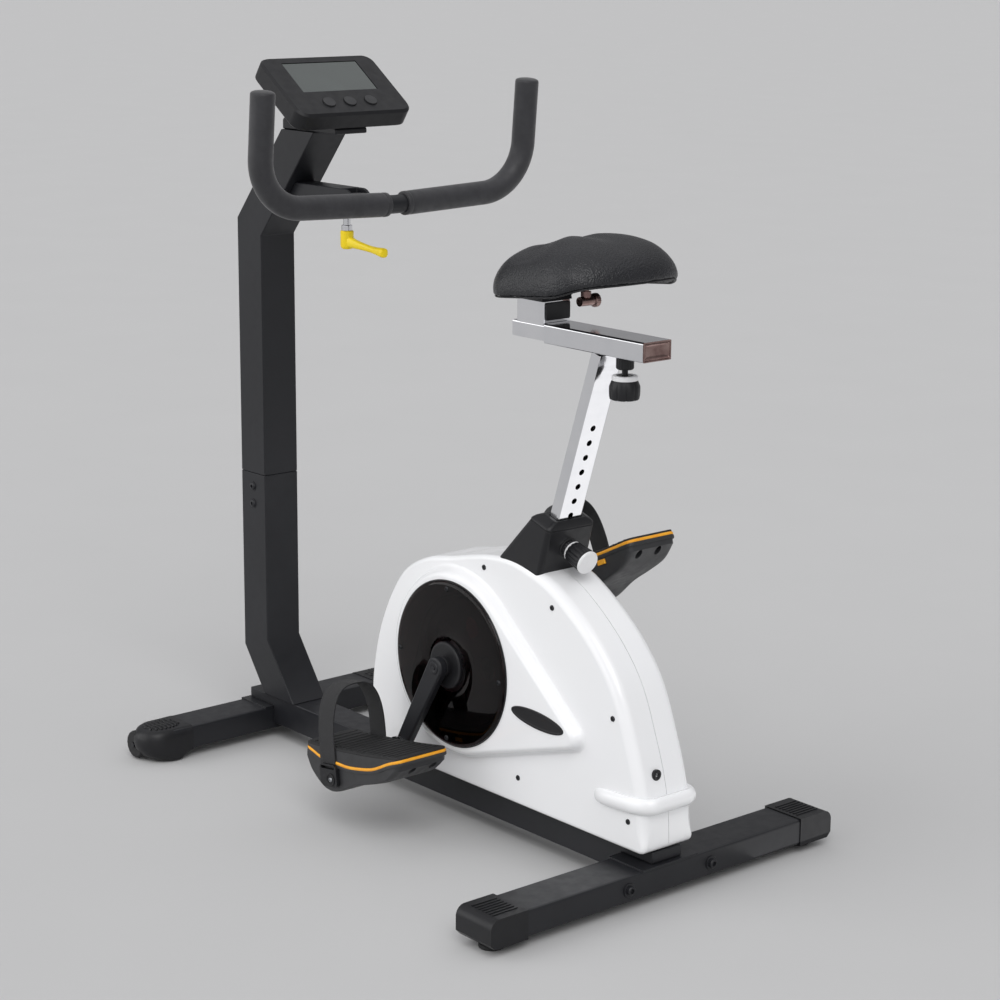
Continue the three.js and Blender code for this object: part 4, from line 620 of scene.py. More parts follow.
def lip_form():
    path = lip_path()
    ahead = np.gradient(path, axis=0)
    ahead /= np.linalg.norm(ahead, axis=1)[:, None]
    inward = np.stack([-ahead[:, 1], ahead[:, 0]], axis=1)
    middle, half = sum(LIP_Z) / 2, (LIP_Z[1] - LIP_Z[0]) / 2
    section = [(LIP_DEEP, half - LIP_TUCK), (LIP_SHOULDER[0], half - LIP_SHOULDER[1])]
    turns = np.linspace(math.pi / 2, -math.pi / 2, 15)
    section += [(LIP_NOSE * (1 - math.cos(a)), half * math.sin(a)) for a in turns]
    section += [(LIP_DEEP, -half)]
    rings = []
    for inset, up in section:
        ring = []
        for x, y in path + inward * inset:
            fall = LIP_FALL * (LIP_X[1] - x) / (LIP_X[1] - LIP_X[0])
            ring.append((x, min(y, -SEAM), middle + up - LIP_DROP - fall))
        rings.append(ring)
    return Form().loft(rings, wrap=False)


def housings():
    for side, name in SIDES.items():
        shell = piece(f"housing_shell_{name}", housing_form().sided(side), "frame", "white_shell",
                      stands_for=[f"housing_{name}"], smooth=50)
        wall = shell.modifiers.new("wall", "SOLIDIFY")
        wall.thickness = SHELL_WALL * MM
        wall.offset = -1
        shell.modifiers.move(len(shell.modifiers) - 1, 0)
        piece(f"housing_lip_{name}", lip_form().sided(side), "frame", "white_shell", smooth=60)


# Windows, their screws, the badge and the housing's own screws

WINDOW_FACE = -PANEL_HALF - 0.3
WINDOW_PROFILE = [
    (44, 5), (44.6, 7.6), (46, 8), (70, 7.8), (95, 7.2), (115, 6.3), (126, 5.5), (131, 4.9),
    (133.2, 3.6), (134, 1.6), (133.4, 0), (124, 0), (112, 2.2), (92, 4.0), (66, 4.8), (44, 5),
]
WINDOW_RIM = [(WINDOW_RADIUS + out, up) for out, up in (
    (1.5, -0.5), (1.7, 0.8), (1.1, 1.5), (0.3, 1.6), (0.3, -0.5))]
WINDOW_AROUND = 128
WINDOW_SCREW_RING = 123.0
WINDOW_SCREW_RISE = 5.4
WINDOW_SCREW_ANGLES = (92, 0, -92, 180)
BUTTON_SCREW = [(0, 0.9), (1.6, 0.9), (1.9, 2.4), (3.2, 2.1), (4.0, 1.1), (4.2, 0), (4.2, -2)]
RECESS_SCREW = [(0, 0.4), (1.6, 0.4), (1.9, 1.4), (3.4, 1.6), (4.1, 1.2), (4.4, 0.3), (4.4, -2)]
HOUSING_SCREWS = [(58, 444), (218, 414), (356, 274), (143, 122), (393, 123)]
BADGE = (207.0, 236.5, 60.0, 14.0)
BADGE_TILT = math.radians(3.5)
BADGE_RISE = [(1, -1), (1, 1.1), (0.985, 1.6), (0.95, 1.7), (0.93, 1.3), (0.92, 1.1), (0, 1.25)]


def screws(profile, places):
    form = Form()
    for place, axis in places:
        form.add(turned(profile, 20).moved(about(place, axis)))
    return form


def windows():
    for side, name in SIDES.items():
        face = about((0, WINDOW_FACE, CRANK_Z), OUT_LEFT)
        cover = turned(WINDOW_PROFILE, WINDOW_AROUND).moved(face).sided(side)
        piece(f"window_cover_{name}", cover, "frame", "smoked_window",
              stands_for=[f"window_{name}"], smooth=40, even=False)
        rim = turned(WINDOW_RIM, WINDOW_AROUND).moved(face).sided(side)
        piece(f"window_rim_{name}", rim, "frame", "black_plastic")
        places = []
        for degrees in WINDOW_SCREW_ANGLES:
            angle = math.radians(degrees)
            x = WINDOW_SCREW_RING * math.cos(angle)
            z = CRANK_Z + WINDOW_SCREW_RING * math.sin(angle)
            places.append(((x, WINDOW_FACE - WINDOW_SCREW_RISE, z), OUT_LEFT))
        piece(f"window_screws_{name}", screws(BUTTON_SCREW, places).sided(side), "frame", "black_steel")
        places = [((x, -HOUSING_HALF, z), OUT_LEFT) for x, z in HOUSING_SCREWS]
        piece(f"housing_screws_{name}", screws(RECESS_SCREW, places).sided(side), "frame", "black_steel")
        piece(f"badge_{name}", badge_form().sided(side), "frame", "black_plastic")


def badge_form():
    """A bare oval plate with a fine raised rim."""
    x, z, long_half, short_half = BADGE
    rings = []
    for scale, out in BADGE_RISE:
        ring = []
        for i in range(FINE_AROUND):
            angle = 2 * math.pi * i / FINE_AROUND
            a = long_half * scale * math.cos(angle)
            b = (short_half - long_half * (1 - scale)) * math.sin(angle) if scale else 0.0
            across = a * math.cos(BADGE_TILT) + b * math.sin(BADGE_TILT)
            up = -a * math.sin(BADGE_TILT) + b * math.cos(BADGE_TILT)
            ring.append((x + across, -PANEL_HALF - out, z + up))
        rings.append(ring)
    return Form().loft(rings)


INLET_AT = (411.0, -16.0, 194.0)
INLET = [
    (0, -6), (3.2, -6), (3.2, 5.0), (4.0, 5.8), (5.4, 6.0), (5.8, 5.4), (7.2, 5.4), (8.4, 4.6), (8.4, 2),
    (8, 0), (7, -6), (0, -6.5),
]
INLET_PIN = [(0, 5), (0.8, 4.6), (1.1, 4), (1.1, -6), (0, -6)]


def power_inlet():
    place = about(INLET_AT, OUT_REAR)
    piece("inlet_socket", turned(INLET).moved(place), "frame", "black_plastic", stands_for=["power_inlet"])
    piece("inlet_pin", turned(INLET_PIN, 16).moved(place), "frame", "steel")


# Shroud, post, rail and slider

SHROUD_RINGS = [
    (-79, 26, 49, -125, 9), (-28.4, 19.8, 47.8, -19, 8), (-27, 18.6, 46.6, -18, 7.4),
    (-27, 18.6, 46.6, -16.6, 7.4), (-28, 19.6, 47.6, -15.8, 8), (-27, 19, 46.8, -14, 8),
    (-24.4, 17.6, 42.8, -10.6, 7), (-19.4, 15, 35, -6.6, 6), (-17, 13.6, 31.6, -5, 5),
]
POST_DEEP, POST_WIDE = 10.0, 25.0
POST_GAP = 0.8
MOUTH_CORNER = 3.0
PLUNGER_Z = -50.0
PORT_RADIUS = 13.5
PORT = [(3, -2), (3, 0.8), (2, 1.4), (0.6, 1.2), (0, 0.4), (0, -1.2), (-PORT_RADIUS, -1.2)]
PLUNGER_NUT_FLUTES = (0.9, 16)
PLUNGER_NUT = [(9.4, -1), (11.2, -1), (12, 0.6), (12, 8), (11, 9.4), (9.4, 9.4)]
SHROUD_FACE = 21.6
SHROUD_SLOPE = math.atan2(6.2, 106)
MOUTH_Z = (-5.2, -20)


def shroud():
    rings = []
    for front, rear, half, z, radius in SHROUD_RINGS:
        rings.append([(a, b, z) for a, b in rounded_box(front, rear, -half, half, radius)])
    deep, wide = POST_DEEP + POST_GAP, POST_WIDE + POST_GAP
    mouth = rounded_box(-deep, deep, -wide, wide, MOUTH_CORNER)
    for z in MOUTH_Z:
        rings.append([(a, b, z) for a, b in mouth])
    form = Form().loft(rings).moved(POST)
    piece("shroud_cover", form, "frame", "black_plastic", stands_for=["post_shroud"], smooth=24)
    turn = Matrix.Rotation(math.pi / 2 - SHROUD_SLOPE, 4, "Y")
    place = POST @ Matrix.Translation((SHROUD_FACE, 0, PLUNGER_Z)) @ turn
    port = turned([(PORT_RADIUS + out, up) for out, up in PORT])
    piece("plunger_port", port.moved(place), "frame", "rubber")
    nut = turned(PLUNGER_NUT, FINE_AROUND, *PLUNGER_NUT_FLUTES, waved=(2, 3))
    piece("plunger_nut", nut.moved(place), "frame", "chrome")


def cut_with(name, mesh, cutter_form):
    """A mesh with a form cut out of it."""
    work = bpy.data.objects.new("work", mesh)
    knife = bpy.data.objects.new("knife", make_mesh("knife", cutter_form))
    for item in (work, knife):
        bpy.context.scene.collection.objects.link(item)
    cut = work.modifiers.new("cut", "BOOLEAN")
    cut.object = knife
    cut.solver = "EXACT"
    cut.use_self = True
    bpy.context.view_layer.update()
    done = bpy.data.meshes.new_from_object(work.evaluated_get(bpy.context.evaluated_depsgraph_get()))
    done.name = name
    bpy.data.objects.remove(work)
    bpy.data.objects.remove(knife)
    return done


HOLE_PITCH = 25.0
HOLE_RADIUS = 5.0
HOLE_INDEXES = (-6, 7)
POST_Z_RANGE = (-172.0, 272.6)
POST_CORNERS = (4.0, 2.2)
RAIL_X = (165.0, 379.0)
RAIL_TOP = 838.0
RAIL_HEIGHT, RAIL_HALF = 30.0, 28.0
RAIL_CORNERS = (3.5, 1.8)
RAIL_LOW = RAIL_TOP - RAIL_HEIGHT
TUBE_WALL = 2.0
CORNER_STEPS = 8
LENGTHWISE = Matrix(((0, 0, 1, 0), (1, 0, 0, 0), (0, 1, 0, 0), (0, 0, 0, 1)))
CHEEK_HALF, CHEEK_Z, CHEEK_X = 24.0, (842.0, 868.5), (163.05, 166.0)
CHEEK_CORNER, CHEEK_EDGE = 3.0, 0.8
PLUG_GAP, PLUG_CORNER, PLUG_SHARE = 0.3, 1.5, 0.6
PLUG_DISHED = [
    (1, 357.0), (1, 379.2), (1.07, 379.2), (1.075, 379.8), (1.06, 380.2), (1, 380.2), (0.985, 379.4),
    (0.95, 379.9), (0.93, 379.9), (0.9, 378.6), (0.8, 377.6), (0.4, 377.4),
]


def box_tube(a0, a1, b0, b1, corners, reach):
    """A box tube with round corners outside and in."""
    skin = rounded_box(a0, a1, b0, b1, corners[0], CORNER_STEPS)
    wall = TUBE_WALL
    bore = rounded_box(a0 + wall, a1 - wall, b0 + wall, b1 - wall, corners[1], CORNER_STEPS)
    return tube(skin, bore, *reach)


def seat_post():
    post = box_tube(-POST_DEEP, POST_DEEP, -POST_WIDE, POST_WIDE, POST_CORNERS, POST_Z_RANGE).moved(POST)
    across = Matrix.Rotation(math.pi / 2, 4, "Y")
    holes = Form()
    for i in range(*HOLE_INDEXES):
        drill = prism(arc(0, 0, HOLE_RADIUS, 0, 2 * math.pi, 28)[:-1], 0, POST_DEEP * 2)
        holes.add(drill.moved(POST @ Matrix.Translation((0, 0, i * HOLE_PITCH)) @ across))
    drilled = cut_with("post_tube", make_mesh("post_tube", post), holes)
    drilled.materials.clear()
    add_mesh("post_tube", drilled, "post", "chrome", LOOKS["chrome"], ["seat_post"], smooth=40)


def seat_rail():
    rail = box_tube(-RAIL_HALF, RAIL_HALF, RAIL_LOW, RAIL_TOP, RAIL_CORNERS, RAIL_X).moved(LENGTHWISE)
    piece("rail_tube", rail, "post", "chrome", stands_for=["saddle_rail"], smooth=40)
    cheek = prism(rounded_box(-CHEEK_HALF, CHEEK_HALF, *CHEEK_Z, CHEEK_CORNER), *CHEEK_X)
    piece("clamp_cheek", cheek.moved(LENGTHWISE), "slider", "black_steel", edge=CHEEK_EDGE)


def rail_plug():
    """The dished plug with its flange, in the tube's rear end."""
    half = RAIL_HALF - TUBE_WALL - PLUG_GAP
    tall = RAIL_HEIGHT / 2 - TUBE_WALL - PLUG_GAP
    centre = (RAIL_LOW + RAIL_TOP) / 2
    rings = []
    for share, x in PLUG_DISHED:
        inset = half * (1 - share)
        drawn = tall - min(inset, tall * PLUG_SHARE)
        box = rounded_box(-half + inset, half - inset, -drawn, drawn, PLUG_CORNER)
        rings.append([(x, a, centre + b) for a, b in box])
    form = Form().loft(rings, caps=True)
    # The rail_end look carries a painted warm reflection in its base colour.
    piece("rail_end_plug", form, "post", "black_plastic", "rail_end", stands_for=["rail_plug"])


KNOB_FLUTES, KNOB_AROUND = (1.3, 14), 168
KNOB_SEAT, KNOB_END = 32.4, 66.4
KNOB_GRIP = [
    (0, 11.2), (4.5, 11.2), (4.5, KNOB_SEAT), (12, KNOB_SEAT), (15, KNOB_SEAT + 0.6), (15.8, KNOB_SEAT + 3),
    (16, KNOB_SEAT + 9), (17, KNOB_SEAT + 20), (17.8, KNOB_END - 5), (18.2, KNOB_END - 2), (17.6, KNOB_END),
    (0, KNOB_END),
]
KNOB_CAP = [(17.2, -0.6), (18.8, 0.2), (19, 2.6), (18, 4), (12, 4.7), (0, 5)]
KNOB_RING = [(12, -1), (15.8, -1), (16.4, 0), (16.4, 2), (15.6, 2.8), (12, 2.8)]
RAIL_KNOB_X = 313.0
RAIL_FLUTES, RAIL_AROUND, SLEEVE_FLUTES = (1.4, 10), 160, (0.7, 16)
RAIL_KNOB_SEAT, RAIL_KNOB_END = 34.6, 66.0
RAIL_GRIP = [
    (0, 0.6), (4.5, 0.6), (4.5, RAIL_KNOB_SEAT), (15.2, RAIL_KNOB_SEAT), (18.6, RAIL_KNOB_SEAT + 1),
    (20.6, RAIL_KNOB_SEAT + 5), (21.6, RAIL_KNOB_SEAT + 11), (21.8, RAIL_KNOB_SEAT + 18),
    (21.4, RAIL_KNOB_SEAT + 25), (20.4, RAIL_KNOB_END - 1.6), (19.4, RAIL_KNOB_END - 0.6),
    (0, RAIL_KNOB_END - 0.6),
]
RAIL_COLLAR = [(13, -5), (18.2, -5), (19.4, -4), (19.4, 1.6), (18.4, 2.8), (13, 2.8)]
RAIL_FOOT = [(0, 0), (17.4, 0), (19.8, -0.4), (20.8, -1.2), (20.2, -2.2), (17, -2.4)]
RAIL_SLEEVE = [(9, 0.4), (12, 0.4), (12.6, 1.4), (12.6, 18.6), (11.6, 20.4), (9, 20.4)]


def raised(profile, height):
    return [(radius, height + up) for radius, up in profile]


def plungers():
    place = POST @ Matrix.Translation((0, 0, PLUNGER_Z)) @ Matrix.Rotation(math.pi / 2, 4, "Y")
    knob = turned(KNOB_GRIP, KNOB_AROUND, *KNOB_FLUTES, waved=(5, 6, 7, 8))
    piece("height_knob_grip", knob.moved(place), "post_plunger", "black_plastic", stands_for=["height_knob"])
    cap = turned(raised(KNOB_CAP, KNOB_END)).moved(place)
    piece("height_knob_cap", cap, "post_plunger", "white_shell", "white_cap")
    ring = turned(raised(KNOB_RING, KNOB_SEAT)).moved(place)
    piece("height_knob_ring", ring, "post_plunger", "white_shell", "white_cap")

    place = about((RAIL_KNOB_X, 0, RAIL_LOW), DOWN)
    knob = turned(RAIL_GRIP, RAIL_AROUND, *RAIL_FLUTES, waved=(6, 7, 8, 9))
    piece("rail_knob_grip", knob.moved(place), "rail_plunger", "black_plastic", stands_for=["rail_knob"])
    collar = turned(raised(RAIL_COLLAR, RAIL_KNOB_SEAT)).moved(place)
    piece("rail_knob_ring", collar, "rail_plunger", "white_shell", "white_cap")
    foot = turned(raised(RAIL_FOOT, RAIL_KNOB_END)).moved(place)
    piece("rail_knob_foot", foot, "rail_plunger", "white_shell", "white_cap")
    sleeve = turned(RAIL_SLEEVE, FINE_AROUND, *SLEEVE_FLUTES, waved=(2, 3)).moved(place)
    piece("rail_knob_sleeve", sleeve, "post", "black_plastic", stands_for=["rail_knob_barrel"])


# Handlebar, grips and clamp lever

BAR_X, BAR_Z = -232.0, 978.0
BAR = leaned(BAR_X, BAR_Z, math.radians(5))
TONGUE_HALF, TONGUE_BORE = 15.4, 6.5
BAR_EDGE, BAR_STEP = 1.2, 6.0
BAR_HALF, BAR_BEND, BAR_RADIUS = 265.0, 82.0, 15.0
BAR_UPSWEEP = math.radians(2)
HORN = 100.0
FOAM_RADIUS = 19.5
BAR_TURN = math.pi / 2 - BAR_UPSWEEP
BAR_STRAIGHT = (BAR_HALF - BAR_BEND * (1 - math.sin(BAR_UPSWEEP))) / math.cos(BAR_UPSWEEP)
BAR_LENGTH = BAR_STRAIGHT + BAR_BEND * BAR_TURN + HORN


def bar_point(along):
    if along < BAR_STRAIGHT:
        return along * math.cos(BAR_UPSWEEP), along * math.sin(BAR_UPSWEEP)
    centre = BAR_STRAIGHT * math.sin(BAR_UPSWEEP) + BAR_BEND * math.cos(BAR_UPSWEEP)
    turn = (along - BAR_STRAIGHT) / BAR_BEND
    if turn < BAR_TURN:
        angle = turn + BAR_UPSWEEP - math.pi / 2
        return BAR_HALF - BAR_BEND + BAR_BEND * math.cos(angle), centre + BAR_BEND * math.sin(angle)
    return BAR_HALF, centre + along - BAR_STRAIGHT - BAR_BEND * BAR_TURN


def bar_sweep(stations, radii, sides=40):
    path, tangents = [], []
    for along in stations:
        y, z = bar_point(abs(along))
        y0, z0 = bar_point(abs(along - 0.5))
        y1, z1 = bar_point(abs(along + 0.5))
        sign = 1 if along >= 0 else -1
        path.append(Vector((0, sign * y, z)))
        ends = (1 if along - 0.5 >= 0 else -1), (1 if along + 0.5 >= 0 else -1)
        tangents.append(Vector((0, ends[1] * y1 - ends[0] * y0, z1 - z0)))
    return Form().loft(swept(path, tangents, radii, sides), caps=True)


def bar_places(low, high, step):
    return list(np.linspace(low, high, int((high - low) / step) + 1))


TONGUE_ROOT = [(-7.5, -6), (-7.5, 6)]
TONGUE_EYE, TONGUE_REACH, TONGUE_DROP = 12.0, -108.0, -3.0
GRIP_INNER, GRIP_OUTER = 17.0, BAR_LENGTH + 2.3
GRIP_COLLAR = [
    (0, 15.6), (0, 18.2), (1.2, 19.4), (7, 19.6), (8.2, 18.6), (9.4, 18.6), (12, FOAM_RADIUS - 0.1),
]
GRIP_START, GRIP_STOP, GRIP_STEP, GRIP_AROUND = 16.0, 5.0, 4.0, 48
GRIP_END = [(3.4, 19.3), (1.6, 18.6), (0.4, 17), (-0.8, 14), (-1.8, 8), (-2, 0.5)]


def tongue():
    """The bar's plate, with the bore for its pivot."""
    line = arc(TONGUE_REACH, TONGUE_DROP, TONGUE_EYE, math.pi / 2, math.pi * 1.5, 16)
    bore = arc(TONGUE_REACH, TONGUE_DROP, TONGUE_BORE, 0, 2 * math.pi, 24)[:-1]
    loops = (TONGUE_ROOT + line, bore)
    plate = Form()
    for loop in loops:
        plate.loft([[(a, y, b) for a, b in loop] for y in (-TONGUE_HALF, TONGUE_HALF)])
    for y in (-TONGUE_HALF, TONGUE_HALF):
        plate.fill([[(a, y, b) for a, b in loop] for loop in loops])
    return plate.moved(Matrix.Translation((BAR_X, 0, BAR_Z)))


def handlebar():
    stations = bar_places(-BAR_LENGTH, BAR_LENGTH, BAR_STEP)
    form = bar_sweep(stations, [BAR_RADIUS] * len(stations))
    form = form.moved(BAR).add(tongue())
    piece("bar_tube", form, "bar", "black_steel", stands_for=["handlebar"], edge=BAR_EDGE)
    for side, name in SIDES.items():
        stations = [GRIP_INNER + along for along, _ in GRIP_COLLAR]
        stations += bar_places(GRIP_INNER + GRIP_START, GRIP_OUTER - GRIP_STOP, GRIP_STEP)
        radii = [radius for _, radius in GRIP_COLLAR]
        radii += [FOAM_RADIUS] * (len(stations) - len(radii))
        for back, radius in GRIP_END:
            stations.append(GRIP_OUTER - back)
            radii.append(radius)
        grip = bar_sweep(stations, radii, GRIP_AROUND).sided(-side).moved(BAR)
        piece(f"foam_grip_{name}", grip, "bar", "foam", stands_for=[f"grip_{name}"], smooth=50)


LEVER_X = -360.0
LEVER_TOP, LEVER_LOW = 923.0, 893.0
LEVER_HUB = [
    (3.4, LEVER_TOP), (10, LEVER_TOP), (11, LEVER_TOP - 1.5), (11, LEVER_LOW + 6), (9.6, LEVER_LOW + 1.5),
    (7.4, LEVER_LOW), (6.4, LEVER_LOW + 0.4), (5.6, LEVER_LOW + 3), (3.2, LEVER_LOW + 3),
    (3.2, LEVER_LOW + 12), (3.4, LEVER_TOP),
]
LEVER_SCREW = [(0, 2.2), (2.2, 2.2), (2.6, 0.4), (4.6, 0.6), (5.2, 1.6), (5.2, 3)]
LEVER_ARM = [
    (4, 905, 7.5, 9.5), (12, 904.4, 7.2, 9), (22, 903, 6.4, 7.6), (36, 901.6, 5.6, 6.4), (52, 900, 5.2, 5.6),
    (68, 898.6, 5.2, 5.4), (80, 897.6, 5.8, 6), (90, 896.8, 7, 7.2), (97, 896.4, 7.6, 7.8),
    (100.5, 896.2, 7.2, 7.4), (102, 896.2, 5.5, 5.6), (102.2, 896.2, 1, 1),
]
LEVER_SQUARE = 0.8
LEVER_AROUND = 28


def squared(value):
    return math.copysign(abs(value) ** LEVER_SQUARE, value)


def clamp_lever():
    rings = []
    for x, z, wide, tall in LEVER_ARM:
        ring = []
        for i in range(LEVER_AROUND):
            angle = 2 * math.pi * i / LEVER_AROUND
            ring.append((x, wide * squared(math.cos(angle)), z + tall * squared(math.sin(angle))))
        rings.append(ring)
    place = Matrix.Translation((LEVER_X, 0, 0))
    form = turned(LEVER_HUB).add(Form().loft(rings, caps=True)).moved(place)
    piece("lever_handle", form, "lever", "yellow_plastic", stands_for=["clamp_lever"], smooth=45)
    screw = turned(raised(LEVER_SCREW, LEVER_LOW), 24).moved(place)
    piece("lever_screw", screw, "lever", "black_steel")


# Cranks

CRANK_LENGTH = 170.0
SWING = {LEFT: math.radians(30), RIGHT: math.radians(210)}
CRANK_Y = (-106.0, -91.0)
CRANK_HUB, CRANK_TIP, CRANK_EDGE = 17.0, 13.0, 3.0
CRANK_DISC = [
    (0, 0.6), (15, 0.6), (15.8, 1.4), (15.8, 7.4), (29, 7.4), (33, 7), (34.4, 7.2), (36.6, 7.6), (37.6, 8.8),
    (37.6, 14), (0, 14),
]
CRANK_BOLT = [(0, 1.6), (3.2, 1.6), (3.7, 0.2), (7.4, 1.4), (9.4, 0.9), (10.4, -0.4), (10.4, -3)]
CRANK_BOLT_Y = -106.3
INWARD = (0, 1, 0)


def cranks():
    outline = arc(0, 0, CRANK_HUB, 0, math.pi, 24)
    outline += arc(0, -CRANK_LENGTH, CRANK_TIP, math.pi, 2 * math.pi, 24)
    for side, name in SIDES.items():
        turn = Matrix.Translation((0, 0, CRANK_Z)) @ Matrix.Rotation(SWING[side], 4, "Y")
        arm = side_prism(outline, *CRANK_Y).sided(side).moved(turn)
        piece(f"crank_arm_{name}", arm, "cranks", "black_steel",
              stands_for=[f"crank_{name}"], edge=CRANK_EDGE)
        disc = turned(CRANK_DISC, FINE_AROUND).moved(about((0, CRANK_Y[1], 0), INWARD))
        piece(f"crank_cover_{name}", disc.sided(side).moved(turn), "cranks", "black_plastic")
        bolt = turned(CRANK_BOLT).moved(about((0, CRANK_BOLT_Y, 0), OUT_LEFT))
        piece(f"crank_bolt_{name}", bolt.sided(side).moved(turn), "cranks", "black_steel")


# Pedals and straps

PEDAL_Y = (-216.0, -116.0)
PEDAL_TOE, PEDAL_HEEL, PEDAL_TOP, PEDAL_DEEP = 114.0, 136.0, 15.0, 78.0
PEDAL_PITCH = {LEFT: math.radians(8), RIGHT: math.radians(24)}
PEDAL_SHARES = [(-1, 0.32), (-0.9, 0.62), (-0.68, 0.9), (-0.5, 1), (-0.28, 0.98), (0.12, 0.78), (0.45, 0.67),
                (0.75, 0.54), (0.97, 0.29)]
DECK_SHARES = [(-1, 0), (-0.93, 0), (-0.5, 0.04), (0, 0.05), (0.5, 0.04), (1, 0)]
PEDAL_ROUND = 11.0
PEDAL_ROUND_STEPS = 7
PLAN_STEPS, PLAN_COUNT = 12, 160
PEDAL_BACK = 0.95
DECK = 4.0
STRAP_X, STRAP_HALF = -47.9, 20.0
STRAP_ARCH, STRAP_THICK = 92.0, 2.4


def pedal_place(side):
    crank = Matrix.Translation((0, 0, CRANK_Z)) @ Matrix.Rotation(SWING[side], 4, "Y")
    tip = crank @ Vector((0, 0, -CRANK_LENGTH))
    return Matrix.Translation(tip) @ Matrix.Rotation(-PEDAL_PITCH[side], 4, "Y")


def along_pedal(share):
    return share * (PEDAL_TOE if share < 0 else PEDAL_HEEL)


def deck_dip(x):
    """How far the dished deck lies below its ends."""
    knots = [(along_pedal(share), down * PEDAL_DEEP) for share, down in DECK_SHARES]
    return float(np.interp(x, *zip(*knots)))


def pedal_outline():
    curve = catmull([(along_pedal(share), PEDAL_TOP - down * PEDAL_DEEP) for share, down in PEDAL_SHARES], 6)
    deck = [(x, PEDAL_TOP - DECK - deck_dip(x)) for x in np.linspace(PEDAL_HEEL, -PEDAL_TOE * PEDAL_BACK, 13)]
    return [*[tuple(p) for p in curve], *deck]


def pedal_rings(outline, low, high):
    """Rings across the plate, drawn in at both ends for its round corners."""
    rings = []
    turns = [math.pi / 2 * k / PEDAL_ROUND_STEPS for k in range(PEDAL_ROUND_STEPS + 1)]
    ends = [(low + PEDAL_ROUND * (1 - math.sin(t)), 1 - math.cos(t)) for t in reversed(turns)]
    ends += [(high - PEDAL_ROUND * (1 - math.sin(t)), 1 - math.cos(t)) for t in turns]
    for y, draw in ends:
        scale = 1 - PEDAL_ROUND * draw / PEDAL_HEEL
        rings.append([(x * scale, y, z if z > 0 else z * (1 - 0.06 * draw)) for x, z in outline])
    return rings


def plan_loop():
    low, high = PEDAL_Y
    plan = rounded_box(-PEDAL_TOE * PEDAL_BACK, PEDAL_HEEL, low, high, PEDAL_ROUND, PLAN_STEPS)
    return evened(plan, PLAN_COUNT)


def trim_sag(x, y):
    """The piping hangs below the deck along the outer side only."""
    outer = smoothstep(-y, -PEDAL_Y[1] + PEDAL_ROUND, -PEDAL_Y[0] - PEDAL_ROUND)
    return outer * float(np.interp(x, *zip(*TRIM_CURVE)))


def around_pedal(section):
    """A section of distances out and up, run round the plate under its tread."""
    plan = plan_loop()
    normals = -inward_normals(plan[::-1])[::-1]
    rings = []
    for out, up in section:
        ring = []
        for (x, y), (a, b) in zip(plan, normals):
            ring.append((x + a * out, y + b * out, PEDAL_TOP - DECK - deck_dip(x) + up - trim_sag(x, y)))
        rings.append(ring)
    rings.append(rings[0])
    return Form().loft(rings)


TREAD_LIFT, TREAD_SINK, TREAD_CHAMFER = 0.1, 0.6, 0.9
TREAD_RIBS, TREAD_FIRST, TREAD_PITCH, TREAD_INSET = 16, -92.0, 14.0, 8.0
TREAD_RIB = [(-3, -1.4), (-1.6, 0.8), (1.6, 0.8), (3, -1.4)]


def tread_stations():
    """Places along the plate, and how far its round corners draw it in there."""
    start, end = -PEDAL_TOE * PEDAL_BACK, PEDAL_HEEL
    turns = np.linspace(0, math.pi / 2, 7)
    corner = [(PEDAL_ROUND * (1 - math.cos(t)), PEDAL_ROUND * (1 - math.sin(t))) for t in turns]
    middle = np.linspace(start + PEDAL_ROUND, end - PEDAL_ROUND, 30)[1:-1]
    first = [(start + along, drawn) for along, drawn in corner]
    return first + [(x, 0.0) for x in middle] + [(end - along, drawn) for along, drawn in reversed(corner)]


def tread_form():
    """The tread's slab follows the dished deck, with a row of ribs across it."""
    low, high = PEDAL_Y
    edge = TREAD_CHAMFER
    rings = []
    for x, drawn in tread_stations():
        base = PEDAL_TOP - DECK - deck_dip(x) + TREAD_LIFT
        top = PEDAL_TOP - TREAD_SINK - deck_dip(x)
        a, b = low + drawn, high - drawn
        rings.append([(x, a, base), (x, b, base), (x, b, top - edge), (x, b - edge, top), (x, a + edge, top),
                      (x, a, top - edge)])
    form = Form().loft(rings, caps=True)
    for i in range(TREAD_RIBS):
        x = TREAD_FIRST + i * TREAD_PITCH
        top = PEDAL_TOP - deck_dip(x)
        ends = (low + TREAD_INSET, high - TREAD_INSET)
        form.add(Form().loft([[(x + a, y, top + b) for a, b in TREAD_RIB] for y in ends], caps=True))
    return form


TRIM_WIDE, TRIM_TALL, TRIM_LOW = 1.6, 2.7, -2.4
TRIM_SECTION = [(TRIM_WIDE * math.cos(math.tau * k / 12), TRIM_LOW + TRIM_TALL * math.sin(math.tau * k / 12))
                for k in range(12)]
RIM_SECTION = [(-1, -4.4), (1.1, -4.4), (1.7, -5.2), (1.7, -9), (1.1, -9.8), (-1, -9.8)]
TRIM_SAG = [(-114, 0), (-90, 7), (-64, 15), (-29, 18), (11, 21), (66, 17), (110, 5), (136, 0)]
TRIM_CURVE = catmull(TRIM_SAG, 8)
DRILL_Y = (-140.0, -181.0)
DRILL_AT, DRILL_SLOPE = (124.0, -12.5), math.radians(33)
DRILL_RADIUS, DRILL_OVAL, DRILL_REACH = 6.4, (1.4, 0.95), (-14.0, 18.0)
CLIP_BOX, CLIP_HALF, CLIP_AT = (-9, 9, -2, 2.4, 1.6), 4.0, (63.0, PEDAL_Y[1] + 0.8, -8.0)
BUCKLE_BOX = (STRAP_X - 18, STRAP_X + 26, -52, -15, 9)
BUCKLE_SLOT = (STRAP_X - 14, STRAP_X + 22, -23, -18.2, 1.5)
BUCKLE_Y = (PEDAL_Y[0] + 5, PEDAL_Y[0] - 7)
BUCKLE_SLOT_DEEP = 5.0
